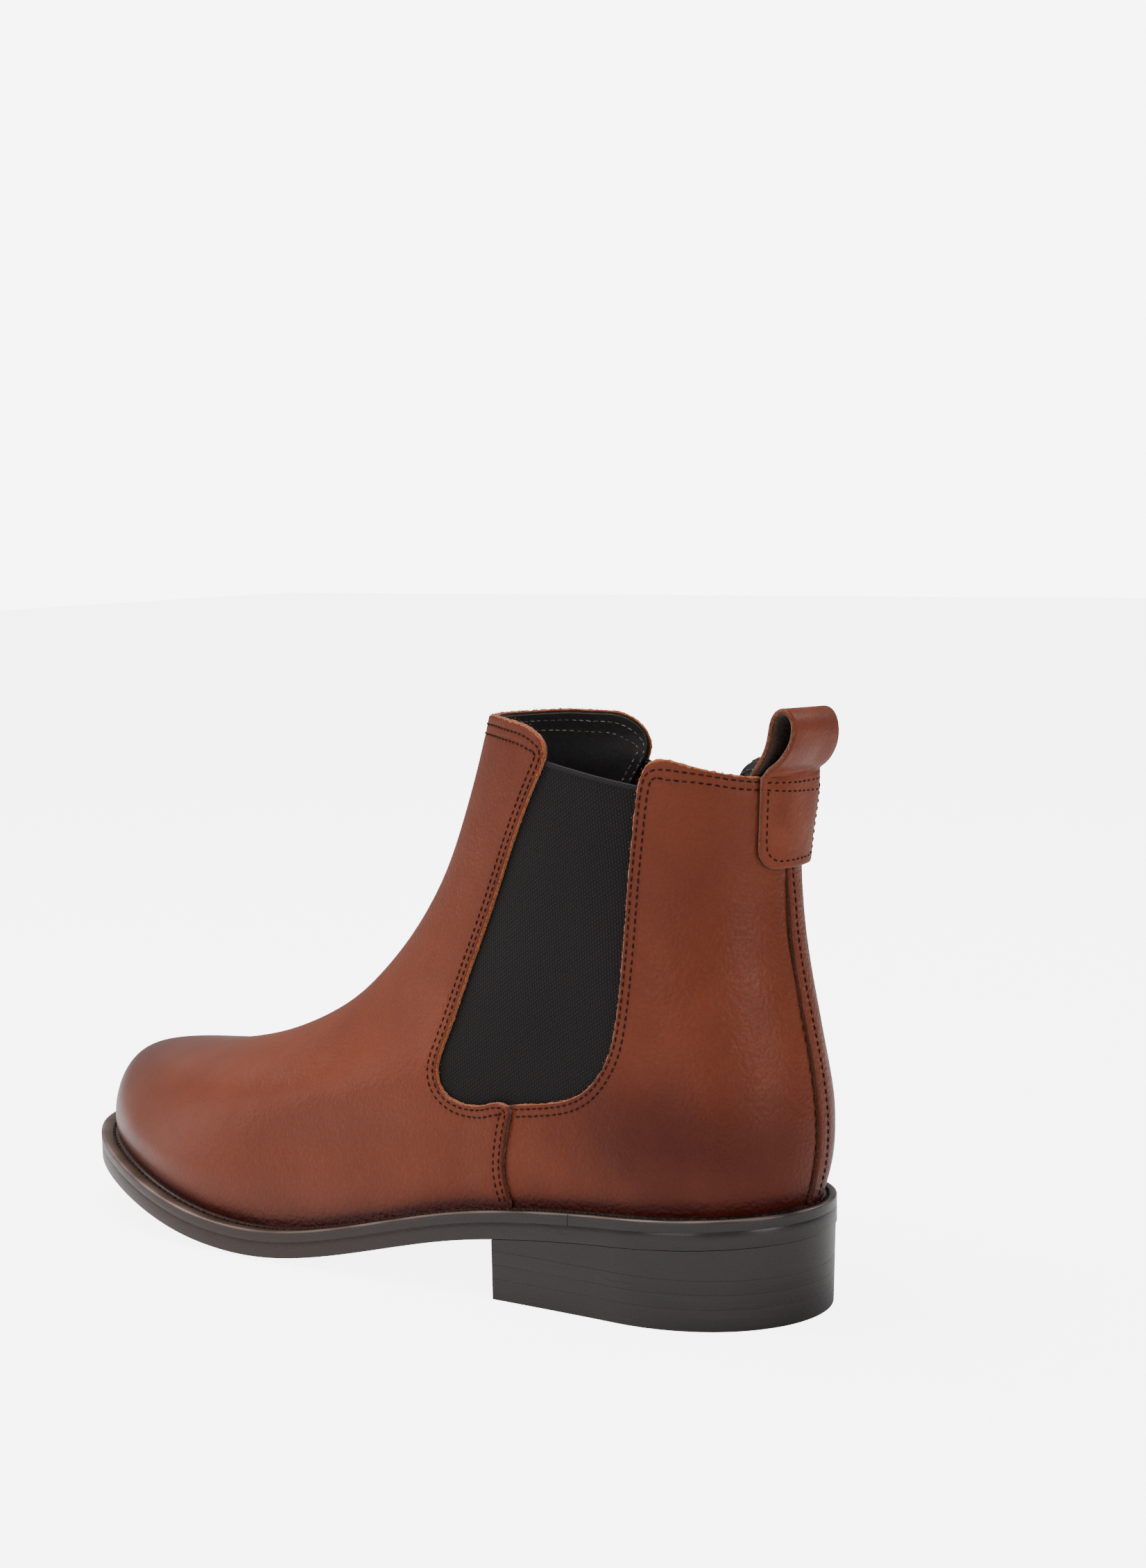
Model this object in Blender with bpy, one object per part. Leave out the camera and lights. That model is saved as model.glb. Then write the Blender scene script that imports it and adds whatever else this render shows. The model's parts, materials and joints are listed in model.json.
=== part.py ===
"""Chelsea boot, left foot, size EU 38-39.

The wearer's outer side is +X, the toe points to -Y and +Z is up. The origin is the middle of the flat
underside of the heel. Every upper piece lies on one skin, the outer surface of the lasted boot. A point
of the skin has a girth c (0 at the back seam, 1 at the toe or front, 2 at the back seam again, first
along the outer side) and a level v (0 at the feather line over the welt, TOP above the top line).
Lengths in the tables are millimetres; s is the distance from the back of the heel towards the toe.
"""

import bmesh
import bpy
import numpy as np

MM = 0.001

# Sole unit
ORIGIN_S = 43.0
WELT_TOP = ((0, 31.0), (60, 27.6), (100, 22.3), (135, 13.8), (169, 8.5), (200, 11.2), (235, 19.0), (270, 25.0))
WELT_THICK = 3.1
WELT_INNER = -5.0
OUTSOLE_THICK = 4.6
GAP = 0.3
FEATHER_GAP = 0.5
HEEL_LENGTH = 84.0
HEEL_TAPER = 1.5
HEEL_BACK_S = 0.9
HEEL_INSET = 0.4
TOP_PIECE_THICK = 6.0
LIFT_THICK = 3.6
RAND_END_S = 58.0
PIN_RADIUS = 1.1
PIN_LENGTH = 12.5
PIN_SPOTS = ((0, 13), (-21, 25), (21, 25), (-22, 62), (22, 62))

# Layers of the upper, as depths under the skin
LEATHER = (0.0, 1.6)
MIDDLE = (2.1, 2.9)
TOE_PUFF = (2.35, 2.95)
LINING = (3.4, 4.2)
GORE_MARGIN = 4.5
TOE_CROWDING = 0.45

# Insole parts
INSOLE_INSET = -5.4
INSOLE_THICK = 2.3
SOCK_THICK = 2.0
CORK_SPAN = (118.0, 256.4)
SEAT_BOARD_SPAN = (11.0, 72.0)
SEAT_BOARD_DROP = 1.9
SHANK = (25.0, 114.0, 7.0, 1.3)

# Stiffeners
COUNTER_END_S = 72.0
COUNTER_SIDE_TOP = 1.45
COUNTER_BACK_RISE = 3.6
STIFFENER_FOOT = 0.12
TOE_PUFF_TOP = 4.2
TOE_PUFF_END_S = 204.0

# Pull tab
TAB_HALF_WIDTH = 11.5
TAB_BOTTOM_Z = 120.5
TAB_TOP_Z = 146.6
TAB_INNER_BOTTOM_Z = 130.0
TAB_THICK = 1.7
TAB_BACK_S = 9.3
TAB_REACH = 0.36
HINGE = (10.5, 149.6)
LOOP_OUTER = (
    (10.5, 147.9), (8.8, 149.4), (6.4, 151.6), (2.8, 154.2), (0.6, 157.4), (1.4, 161.0), (4.8, 162.8),
    (8.5, 161.8), (10.7, 158.0), (11.7, 153.6), (12.2, 149.6),
)
LOOP_INNER = (
    (10.0, 151.3), (9.3, 151.5), (7.2, 153.2), (3.8, 155.2), (2.2, 157.7), (2.9, 160.1), (5.0, 161.2),
    (7.6, 160.4), (9.1, 157.4), (10.0, 153.6), (10.3, 151.8),
)

# Levels of the skin, from the feather line to above the top line: back s, z; front s, z; length of the
# rounded ends at the back and the front as shares of the level; half widths at 0, 1/4, 1/2, 3/4 and 1
# of its length, on the outer and the inner side
LEVELS = (
    (4.3, 31.3, 264.2, 22.2, 0.15, 0.30, (31.0, 31.5, 35.0, 40.2, 36.7), (31.0, 29.0, 30.5, 41.5, 37.0)),
    (1.8, 41.0, 265.0, 29.3, 0.15, 0.31, (33.0, 32.5, 35.0, 41.5, 38.0), (33.0, 31.0, 31.5, 42.0, 38.0)),
    (0.9, 50.0, 263.6, 38.7, 0.16, 0.36, (33.5, 33.0, 34.0, 39.0, 35.0), (33.5, 32.0, 32.0, 39.0, 35.0)),
    (1.2, 58.0, 252.1, 48.3, 0.17, 0.43, (33.5, 33.0, 33.5, 35.5, 30.0), (33.5, 32.5, 32.0, 35.0, 29.0)),
    (2.4, 67.0, 227.8, 52.6, 0.20, 0.51, (33.0, 33.0, 32.5, 32.0, 25.5), (33.0, 32.5, 31.0, 31.0, 24.5)),
    (4.2, 76.0, 197.0, 58.1, 0.23, 0.58, (32.5, 33.0, 32.0, 31.0, 26.0), (32.5, 32.5, 31.0, 29.5, 25.0)),
    (6.2, 85.0, 168.0, 68.5, 0.26, 0.58, (32.0, 33.0, 32.0, 30.0, 27.0), (32.0, 32.5, 31.0, 29.0, 26.0)),
    (8.6, 98.0, 146.0, 84.5, 0.32, 0.55, (31.5, 32.5, 32.0, 30.0, 27.0), (31.5, 32.0, 31.0, 29.0, 27.0)),
    (9.8, 111.0, 128.0, 105.0, 0.40, 0.52, (31.0, 31.5, 31.0, 29.5, 27.0), (31.0, 31.0, 30.5, 29.0, 27.0)),
    (9.7, 125.0, 115.5, 128.0, 0.44, 0.50, (30.5, 31.0, 31.0, 29.5, 27.0), (30.5, 31.0, 31.0, 29.5, 27.0)),
    (9.0, 143.0, 105.5, 155.0, 0.45, 0.48, (30.5, 31.0, 31.0, 29.5, 27.0), (30.5, 31.0, 31.0, 29.5, 27.0)),
    (8.6, 155.0, 102.0, 169.0, 0.45, 0.48, (30.5, 31.0, 31.0, 29.5, 27.0), (30.5, 31.0, 31.0, 29.5, 27.0)),
)
TOP = len(LEVELS) - 1
DROOP_LEVELS = 6.0
TOE_SQUARE = 0.3
TOE_SWING = 6.8
SWING_LEVELS = (1.0, 6.0)

# On the inner side the ears and the top line sit lower and further forward: by a share of a level and of
# the girth, fading out over these girths and levels
INNER_DROP = 0.33
INNER_DROP_FRONT = (0.48, 0.66)
INNER_SHIFT = 0.045
INNER_BACK = (0.12, 0.30)
INNER_FRONT = (0.66, 0.95)
INNER_RISE = (6.0, 9.8)

# Outlines of the panels in side view, as (s, z), from the bottom up
SIDE_SEAM = ((80.0, 27.0), (81.7, 35.0), (80.8, 43.5), (79.4, 49.5), (78.4, 53.0))
GORE_BACK = (
    (78.0, 54.6), (65.4, 56.6), (59.2, 58.2), (53.0, 61.5), (48.3, 66.4), (44.6, 73.0), (42.3, 82.5),
    (41.3, 95.0), (41.0, 106.0), (40.2, 119.0), (38.6, 131.5), (36.8, 142.5),
)
GORE_FRONT = (
    (78.0, 54.6), (89.5, 53.6), (100.0, 54.2), (105.6, 60.0), (105.3, 66.5), (98.0, 84.5), (88.6, 107.0),
    (77.4, 131.0), (68.2, 146.5),
)
QUARTER_EAR = ((35.0, 147.3), (32.6, 149.1))
VAMP_EAR = ((67.0, 151.5), (69.2, 154.6))
QUARTER_TOP = ((32.6, 149.1), (28.0, 149.0), (24.5, 147.8), (19.5, 146.3), (15.0, 145.1), (9.0, 144.4))
VAMP_TOP = ((69.2, 154.6), (76.0, 157.4), (90.0, 158.2), (105.0, 157.6))


def clear_scene():
    for obj in list(bpy.data.objects):
        bpy.data.objects.remove(obj, do_unlink=True)


def spline(knots, values):
    """A natural cubic through the values at the knots, as a function."""
    x = np.asarray(knots, float)
    y = np.asarray(values, float)
    count = len(x)
    step = np.diff(x)
    matrix = np.zeros((count, count))
    matrix[0, 0] = matrix[-1, -1] = 1.0
    right = np.zeros(y.shape)
    for i in range(1, count - 1):
        matrix[i, i - 1 : i + 2] = step[i - 1], 2 * (step[i - 1] + step[i]), step[i]
        right[i] = 6 * ((y[i + 1] - y[i]) / step[i] - (y[i] - y[i - 1]) / step[i - 1])
    bend = np.linalg.solve(matrix, right)

    def value(at):
        at = np.clip(np.asarray(at, float), x[0], x[-1])
        i = np.clip(np.searchsorted(x, at) - 1, 0, count - 2)
        shape = at.shape + (1,) * (y.ndim - 1)
        after = ((at - x[i]) / step[i]).reshape(shape)
        before = 1 - after
        scale = step[i].reshape(shape) ** 2 / 6
        curve = ((before**3 - before) * bend[i] + (after**3 - after) * bend[i + 1]) * scale
        return before * y[i] + after * y[i + 1] + curve

    return value


welt_top = spline(*zip(*WELT_TOP))
level_line = spline(range(TOP + 1), [row[:6] for row in LEVELS])
level_width = spline(range(TOP + 1), [row[6] + row[7] for row in LEVELS])
station_share = spline((0.0, 0.25, 0.5, 0.75, 1.0), np.eye(5))


def fade(value, low, high):
    t = np.clip((value - low) / (high - low), 0, 1)
    return t * t * (3 - 2 * t)


def skin_design(c, v):
    """Points of the skin as (x, s, z) in millimetres."""
    c, v = np.broadcast_arrays(np.asarray(c, float) % 2.0, np.asarray(v, float))
    outer = c <= 1.0
    share = (1 - np.cos(np.pi * np.where(outer, c, 2.0 - c))) / 2
    back_s, back_z, front_s, front_z, back_cap, front_cap = np.moveaxis(level_line(v), -1, 0)
    s = back_s + (front_s - back_s) * share
    first = LEVELS[0]
    chord = first[1] + (first[3] - first[1]) * (s - first[0]) / (first[2] - first[0])
    droop = np.clip(1 - v / DROOP_LEVELS, 0, 1) ** 1.5
    z = back_z + (front_z - back_z) * share + droop * (welt_top(s) + FEATHER_GAP - chord)
    widths = level_width(v)
    widths = np.where(outer[..., None], widths[..., :5], widths[..., 5:])
    width = (widths * station_share(share)).sum(-1)
    back_round = np.sqrt(1 - np.clip(1 - share / back_cap, 0, 1) ** 2)
    power = 2 + TOE_SQUARE * np.clip(1 - v / 4, 0, 1)
    front_round = (1 - np.clip(1 - (1 - share) / front_cap, 0, 1) ** power) ** (1 / power)
    swing = TOE_SWING * np.clip(2 * share - 1, 0, 1) ** 2 * (1 - fade(v, *SWING_LEVELS))
    return np.stack([np.where(outer, 1, -1) * width * back_round * front_round - swing, s, z], -1)


def to_world(points):
    x, s, z = np.moveaxis(np.asarray(points, float), -1, 0)
    return np.stack([x, ORIGIN_S - s, z], -1) * MM


def skin(c, v, depth=0.0):
    """World points at a depth in millimetres under the skin."""
    c, v = np.broadcast_arrays(np.asarray(c, float), np.asarray(v, float))
    small = 1e-3
    low = np.clip(v - small, 0, TOP)
    high = np.clip(v + small, 0, TOP)
    along = to_world(skin_design(c + small, v)) - to_world(skin_design(c - small, v))
    up = to_world(skin_design(c, high)) - to_world(skin_design(c, low))
    normal = np.cross(up, along)
    normal /= np.linalg.norm(normal, axis=-1, keepdims=True)
    return to_world(skin_design(c, v)) - normal * depth * MM


def girth_of(s, v):
    """The girth on the outer side at a distance s on level v."""
    line = level_line(v)
    share = np.clip((s - line[..., 0]) / (line[..., 2] - line[..., 0]), 0, 1)
    return np.arccos(1 - 2 * share) / np.pi


def locate(points):
    """Girth and level on the outer side of side-view points (s, z); the inner side is its mirror."""
    s, z = np.asarray(points, float).T
    low = np.zeros(len(s))
    high = np.full(len(s), float(TOP))
    for _ in range(40):
        middle = (low + high) / 2
        under = skin_design(girth_of(s, middle), middle)[..., 2] < z
        low = np.where(under, middle, low)
        high = np.where(under, high, middle)
    return np.stack([girth_of(s, low), low], -1)


def smooth_line(points, count):
    """Points evenly spaced along a smooth curve through the given ones."""
    points = np.asarray(points, float)
    reach = np.concatenate([[0], np.cumsum(np.linalg.norm(np.diff(points, axis=0), axis=1))])
    return spline(reach, points)(np.linspace(0, reach[-1], count))


def moved_out(line, distance):
    """A side-view line moved to its left by a distance."""
    along = np.gradient(line, axis=0)
    along /= np.linalg.norm(along, axis=1, keepdims=True)
    return line + distance * np.stack([-along[:, 1], along[:, 0]], -1)


def material(name, colour, roughness, metallic=0.0):
    made = bpy.data.materials.new(name)
    made.use_nodes = True
    shader = made.node_tree.nodes["Principled BSDF"]
    shader.inputs["Base Color"].default_value = (*colour, 1.0)
    shader.inputs["Roughness"].default_value = roughness
    shader.inputs["Metallic"].default_value = metallic
    return made


def add_object(name, points, faces, finish, collection):
    """A mesh object with its normals made consistent and pointing out."""
    mesh = bpy.data.meshes.new(name)
    mesh.from_pydata([tuple(p) for p in points], [], faces)
    work = bmesh.new()
    work.from_mesh(mesh)
    bmesh.ops.remove_doubles(work, verts=work.verts, dist=1e-6)
    bmesh.ops.recalc_face_normals(work, faces=work.faces)
    work.to_mesh(mesh)
    work.free()
    mesh.shade_smooth()
    mesh.set_sharp_from_angle(angle=0.6)
    obj = bpy.data.objects.new(name, mesh)
    obj.data.materials.append(finish)
    collection.objects.link(obj)
    return obj


def grid_faces(rows, columns, offset=0):
    faces = []
    for i in range(rows - 1):
        for j in range(columns - 1):
            a = offset + i * columns + j
            faces.append((a, a + 1, a + columns + 1, a + columns))
    return faces


def sheet(name, c, v, layer, finish, collection):
    """A closed panel between two depths under the skin, from grids of girth and level."""
    rows, columns = c.shape
    outside = skin(c, v, layer[0]).reshape(-1, 3)
    inside = skin(c, v, layer[1]).reshape(-1, 3)
    count = rows * columns
    faces = grid_faces(rows, columns)
    faces += [tuple(reversed(f)) for f in grid_faces(rows, columns, count)]
    rim = [(0, j) for j in range(columns)] + [(i, columns - 1) for i in range(1, rows)]
    rim += [(rows - 1, j) for j in range(columns - 2, -1, -1)] + [(i, 0) for i in range(rows - 2, 0, -1)]
    rim = [i * columns + j for i, j in rim]
    for a, b in zip(rim, rim[1:] + rim[:1]):
        faces.append((b, a, a + count, b + count))
    return add_object(name, np.concatenate([outside, inside]), faces, finish, collection)


def between(first, last, columns, crowd=0.0):
    """Grids of girth and level from one edge line to the other, its columns crowded in the middle."""
    turn = np.linspace(-1, 1, columns)[None, :]
    share = 0.5 + 0.5 * ((1 - crowd) * turn + crowd * turn**3)
    c = first[:, :1] * (1 - share) + last[:, :1] * share
    v = first[:, 1:] * (1 - share) + last[:, 1:] * share
    return c, v


def lifted_top(c, v, top_line):
    """Moves the upper rows so that the last one follows a top line given as (girth, level) points."""
    order = np.argsort(top_line[:, 0])
    target = np.interp(c[-1], top_line[order, 0], top_line[order, 1])
    ramp = np.linspace(0, 1, len(c))[:, None] ** 4
    return v + ramp * (target - v[-1])[None, :]


def on_inner_side(c, v):
    """Girth and level on the inner side of a place given on the outer side."""
    share = fade(c, *INNER_BACK) * fade(v, *INNER_RISE)
    shift = INNER_SHIFT * share * (1 - fade(c, *INNER_FRONT))
    return 2.0 - c - shift, v - INNER_DROP * share * (1 - fade(c, *INNER_DROP_FRONT))


def mirrored(edge):
    return np.stack(on_inner_side(edge[:, 0], edge[:, 1]), -1)


def edge_rows(parts, counts):
    """Rows of an edge: each stretch of side-view points sampled evenly, joined end to end."""
    rows = [smooth_line(part, count) for part, count in zip(parts, counts)]
    return locate(np.concatenate(rows))


def front_edge():
    gore = moved_out(smooth_line(GORE_FRONT[2:], 30), -GAP)[::2]
    return edge_rows((SIDE_SEAM, gore, VAMP_EAR), (7, 14, 2))


def back_edge():
    gore = moved_out(smooth_line(GORE_BACK[1:], 30), GAP)[::2]
    seam = np.asarray(SIDE_SEAM) - (2 * GAP, 0)
    return edge_rows((seam, gore, QUARTER_EAR), (5, 13, 2))


def top_line(points):
    outer = locate(smooth_line(points, 16))
    return np.concatenate([outer, mirrored(outer)])


def with_floor(edge):
    """The same edge with its first row on the feather line."""
    edge = edge.copy()
    edge[0, 1] = 0.0
    return edge


def front_panel(name, layer, columns, finish, collection):
    edge = with_floor(front_edge())
    c, v = between(edge, mirrored(edge), columns, TOE_CROWDING)
    return sheet(name, c, lifted_top(c, v, top_line(VAMP_TOP)), layer, finish, collection)


def quarter_panel(name, sign, layer, columns, finish, collection):
    edge = with_floor(back_edge())
    seam = np.stack([np.full(len(edge), 0.004), edge[:, 1]], -1)
    c, v = between(seam, edge, columns)
    v = lifted_top(c, v, top_line(QUARTER_TOP)[:16])
    if sign < 0:
        c, v = on_inner_side(c, v)
    return sheet(name, c, v, layer, finish, collection)


def back_lining(name, layer, columns, finish, collection):
    edge = with_floor(back_edge())
    c, v = between(mirrored(edge) - (2, 0), edge, columns)
    outer = locate(smooth_line(QUARTER_TOP, 16))
    both = np.concatenate([outer, mirrored(outer) - (2, 0)])
    return sheet(name, c, lifted_top(c, v, both), layer, finish, collection)


def gore(name, sign, finish, collection):
    back = moved_out(smooth_line(GORE_BACK[1:], 12), GORE_MARGIN)
    front = moved_out(smooth_line(GORE_FRONT[1:], 12), -GORE_MARGIN)
    c, v = between(locate(back), locate(front), 7)
    if sign < 0:
        c, v = on_inner_side(c, v)
    return sheet(name, c, v, MIDDLE, finish, collection)


def counter(finish, collection):
    """Stiffener round the heel, its top highest at the back."""
    rows = 9
    side = np.linspace(-1, 1, 17)[None, :]
    reach = girth_of(COUNTER_END_S, np.array(1.0))
    c = np.repeat(side * reach, rows, 0)
    hump = np.cos(np.clip(np.abs(side) * 1.35, 0, 1) * np.pi / 2) ** 1.2
    v = np.linspace(STIFFENER_FOOT, 1, rows)[:, None] * (COUNTER_SIDE_TOP + COUNTER_BACK_RISE * hump)
    return sheet("heel_counter", c, v, MIDDLE, finish, collection)


def toe_puff(finish, collection):
    """Stiffener inside the toe."""
    rows = np.linspace(STIFFENER_FOOT, TOE_PUFF_TOP, 12)
    edge = np.stack([girth_of(TOE_PUFF_END_S + 2 * rows, rows), rows], -1)
    c, v = between(edge, mirrored(edge), 25)
    return sheet("toe_puff", c, v, TOE_PUFF, finish, collection)


def sole_outline(c, offset):
    """Plan outline (x, s) at an offset from the feather line, positive outwards."""
    c = np.asarray(c, float)
    small = 1e-3
    along = skin_design(c + small, 0.0) - skin_design(c - small, 0.0)
    normal = np.stack([along[..., 1], -along[..., 0]], -1)
    normal /= np.linalg.norm(normal, axis=-1, keepdims=True)
    return skin_design(c, 0.0)[..., :2] + normal * np.asarray(offset)[..., None]


def ledge(c):
    """Width of the welt outside the feather line: narrow at the heel, wider round the forepart."""
    s = skin_design(c, 0.0)[..., 1]
    return 3.6 + 1.7 * np.clip((s - 50.0) / 110.0, 0, 1)


def slab(name, plan, low, high, finish, collection):
    """A solid between two heights given as functions of s, over a closed plan outline."""
    count = len(plan)
    half = count // 2
    points = [(x, s, low(s)) for x, s in plan] + [(x, s, high(s)) for x, s in plan]
    faces = []
    for i in range(count):
        j = (i + 1) % count
        faces.append((i, j, j + count, i + count))
    for i in range(half):
        a, b, c, d = i, i + 1, (count - i - 1) % count, (count - i) % count
        for shift in (0, count):
            corners = []
            for corner in (a, b, c, d):
                if corner + shift not in corners:
                    corners.append(corner + shift)
            if len(corners) > 2:
                faces.append(tuple(corners))
    return add_object(name, to_world(points), faces, finish, collection)


def full_plan(offset, count=36):
    c = np.linspace(0, 1, count + 1)
    outer = sole_outline(c, offset(c))
    inner = sole_outline(2 - c[1:-1], offset(2 - c[1:-1]))[::-1]
    return np.concatenate([outer, inner])


def cut_plan(offset, low_s, high_s, count=24):
    """The plan outline between two distances, with straight ends across."""
    share = np.linspace(0, 1, count + 1)
    s = low_s + (high_s - low_s) * (1 - np.cos(np.pi * share)) / 2
    trace = np.linspace(0, 1, 400)
    sides = []
    for c in (trace, 2 - trace):
        line = sole_outline(c, offset(c))
        sides.append(np.stack([np.interp(s, line[:, 1], line[:, 0]), s], -1))
    return np.concatenate([sides[0], sides[1][::-1]])


def ring(name, c, offsets, heights, finish, collection):
    """A strip along the outline: a rectangle swept from one girth to another, or all round."""
    loops = []
    for offset, height in zip(offsets, heights):
        plan = sole_outline(c, offset(c))
        loops.append(np.concatenate([plan, height(plan[:, 1])[:, None]], -1))
    points = np.stack(loops, 1).reshape(-1, 3)
    faces = []
    for i in range(len(c) - 1):
        for k in range(4):
            a, b = 4 * i + k, 4 * i + (k + 1) % 4
            faces.append((a, b, b + 4, a + 4))
    last = 4 * (len(c) - 1)
    faces += [(3, 2, 1, 0), (last, last + 1, last + 2, last + 3)]
    return add_object(name, to_world(points), faces, finish, collection)


def constant(value):
    return lambda at: np.full(np.shape(at), float(value))


def above_welt(rise):
    return lambda s: welt_top(s) + rise


def heel_plan(height, count=22):
    """Plan of the heel at a height: the sole outline, drawn in a little at the back lower down."""
    taper = HEEL_TAPER * (1 - height / WELT_TOP[0][1])
    plan = cut_plan(lambda c: ledge(c) - HEEL_INSET, HEEL_BACK_S, HEEL_LENGTH, count)
    pull = taper * np.clip(1 - plan[:, 1] / 30.0, 0, 1) ** 2
    return plan + np.stack([np.zeros(len(plan)), pull], -1)


def drill(obj, cutter):
    cut = obj.modifiers.new("pin_holes", "BOOLEAN")
    cut.operation = "DIFFERENCE"
    cut.object = cutter


def cylinder(name, x, s, low, high, radius, sides, finish, collection):
    work = bmesh.new()
    bmesh.ops.create_cone(
        work, cap_ends=True, segments=sides, radius1=radius * MM, radius2=radius * MM, depth=(high - low) * MM
    )
    mesh = bpy.data.meshes.new(name)
    work.to_mesh(mesh)
    work.free()
    mesh.shade_smooth()
    mesh.set_sharp_from_angle(angle=0.9)
    obj = bpy.data.objects.new(name, mesh)
    obj.location = (x * MM, (ORIGIN_S - s) * MM, (low + high) / 2 * MM)
    obj.data.materials.append(finish)
    collection.objects.link(obj)
    return obj


def sole_parts(look, boot, cutters):
    welt_bottom = above_welt(-WELT_THICK)
    welt_sides = (ledge, ledge, constant(WELT_INNER), constant(WELT_INNER))
    welt_heights = (above_welt(0.0), welt_bottom, welt_bottom, above_welt(0.0))
    joint = float(girth_of(RAND_END_S, np.array(0.0)))
    forepart = np.linspace(joint + 0.002, 2 - joint - 0.002, 57)
    rand = np.linspace(-joint + 0.002, joint - 0.002, 25)
    ring("welt", forepart, welt_sides, welt_heights, look["edge"], boot)
    ring("heel_rand", rand, welt_sides, welt_heights, look["edge"], boot)
    sole_top = above_welt(-WELT_THICK - GAP)
    sole_bottom = above_welt(-WELT_THICK - GAP - OUTSOLE_THICK)
    slab("outsole", full_plan(ledge), sole_bottom, sole_top, look["sole"], boot)

    stack = (
        ("top_piece", TOP_PIECE_THICK, look["rubber"]),
        ("heel_lift_1", LIFT_THICK, look["edge"]),
        ("heel_lift_2", LIFT_THICK, look["edge"]),
    )
    pieces = []
    low = 0.0
    for name, thick, finish in stack:
        pieces.append(slab(name, heel_plan(low), constant(low), constant(low + thick), finish, boot))
        low += thick + GAP
    seat_top = above_welt(-WELT_THICK - 2 * GAP - OUTSOLE_THICK)
    slab("heel_seat_lift", heel_plan(low), constant(low), seat_top, look["edge"], boot)

    for number, (x, s) in enumerate(PIN_SPOTS, 1):
        name = f"heel_pin_{number}"
        cylinder(name, x, s, 0.5, PIN_LENGTH, PIN_RADIUS, 8, look["brass"], boot)
        wide = PIN_RADIUS + GAP
        hole = cylinder(f"{name}_hole", x, s, -2.0, PIN_LENGTH + GAP, wide, 8, look["brass"], cutters)
        for piece in pieces:
            drill(piece, hole)


def bottom_parts(look, boot):
    inset = constant(WELT_INNER - 0.4)
    low = above_welt(-WELT_THICK)
    slab("cork_filler", cut_plan(inset, *CORK_SPAN), low, above_welt(-GAP), look["cork"], boot)
    board_top = above_welt(-SEAT_BOARD_DROP)
    slab("heel_seat_board", cut_plan(inset, *SEAT_BOARD_SPAN, 14), low, board_top, look["board"], boot)
    start, end, half, thick = SHANK
    along = np.linspace(start, end, 13)
    plan = [(half, s) for s in along] + [(-half, s) for s in along[::-1]]
    slab("shank", np.array(plan), above_welt(-GAP - thick), above_welt(-GAP), look["steel"], boot)
    plan = full_plan(constant(INSOLE_INSET), 30)
    slab("insole", plan, above_welt(GAP), above_welt(GAP + INSOLE_THICK), look["board"], boot)
    low = above_welt(2 * GAP + INSOLE_THICK)
    high = above_welt(2 * GAP + INSOLE_THICK + SOCK_THICK)
    slab("sock_liner", plan, low, high, look["lining"], boot)


def tab_leg(name, bottom_z, layer, round_share, finish, collection):
    """A sewn leg of the pull tab, lying on the back of the boot, with a rounded lower end."""
    turn = np.linspace(0, np.pi / 2, 5)
    radius = round_share * TAB_HALF_WIDTH
    straight = np.linspace(bottom_z + radius, TAB_TOP_Z, 6)[1:]
    rows_z = np.concatenate([bottom_z + radius * (1 - np.cos(turn)), straight])
    half = np.concatenate([TAB_HALF_WIDTH - radius * (1 - np.sin(turn)), np.full(5, TAB_HALF_WIDTH)])
    level = locate(np.stack([np.full(len(rows_z), TAB_BACK_S), rows_z], -1))[:, 1]
    trace = np.linspace(0, TAB_REACH, 120)
    side = [np.interp(wide, skin_design(trace, v)[:, 0], trace) for v, wide in zip(level, half)]
    edge = np.stack([np.array(side), level], -1)
    c, v = between(edge * (-1, 1), edge, 7)
    return sheet(name, c, v, layer, finish, collection)


def pull_loop(finish, collection):
    """The free loop: a strap folded on itself, standing on the hinge at the top line."""
    outer = closed_curve(LOOP_OUTER, 26)
    inner = closed_curve(LOOP_INNER, 26)
    count = len(outer)
    loops = []
    for line, side in ((outer, 1), (outer, -1), (inner, -1), (inner, 1)):
        loops.append([(side * TAB_HALF_WIDTH, s, z) for s, z in line])
    points = np.array(loops).reshape(-1, 3)
    faces = []
    for k in range(4):
        for i in range(count):
            j = (i + 1) % count
            a, b = k * count, ((k + 1) % 4) * count
            faces.append((a + i, a + j, b + j, b + i))
    hinge = bpy.data.objects.new("pull_loop_hinge", None)
    hinge.location = to_world((0.0, *HINGE))
    collection.objects.link(hinge)
    obj = add_object("pull_loop", to_world(points) - to_world((0.0, *HINGE)), faces, finish, collection)
    obj.parent = hinge
    return obj


def closed_curve(points, count):
    """A closed smooth curve through points, sampled by their order."""
    points = np.asarray(points, float)
    wrapped = np.concatenate([points[-3:], points, points[:4]])
    knots = np.arange(-3, len(points) + 4)
    return spline(knots, wrapped)(np.linspace(0, len(points), count, endpoint=False))


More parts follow.
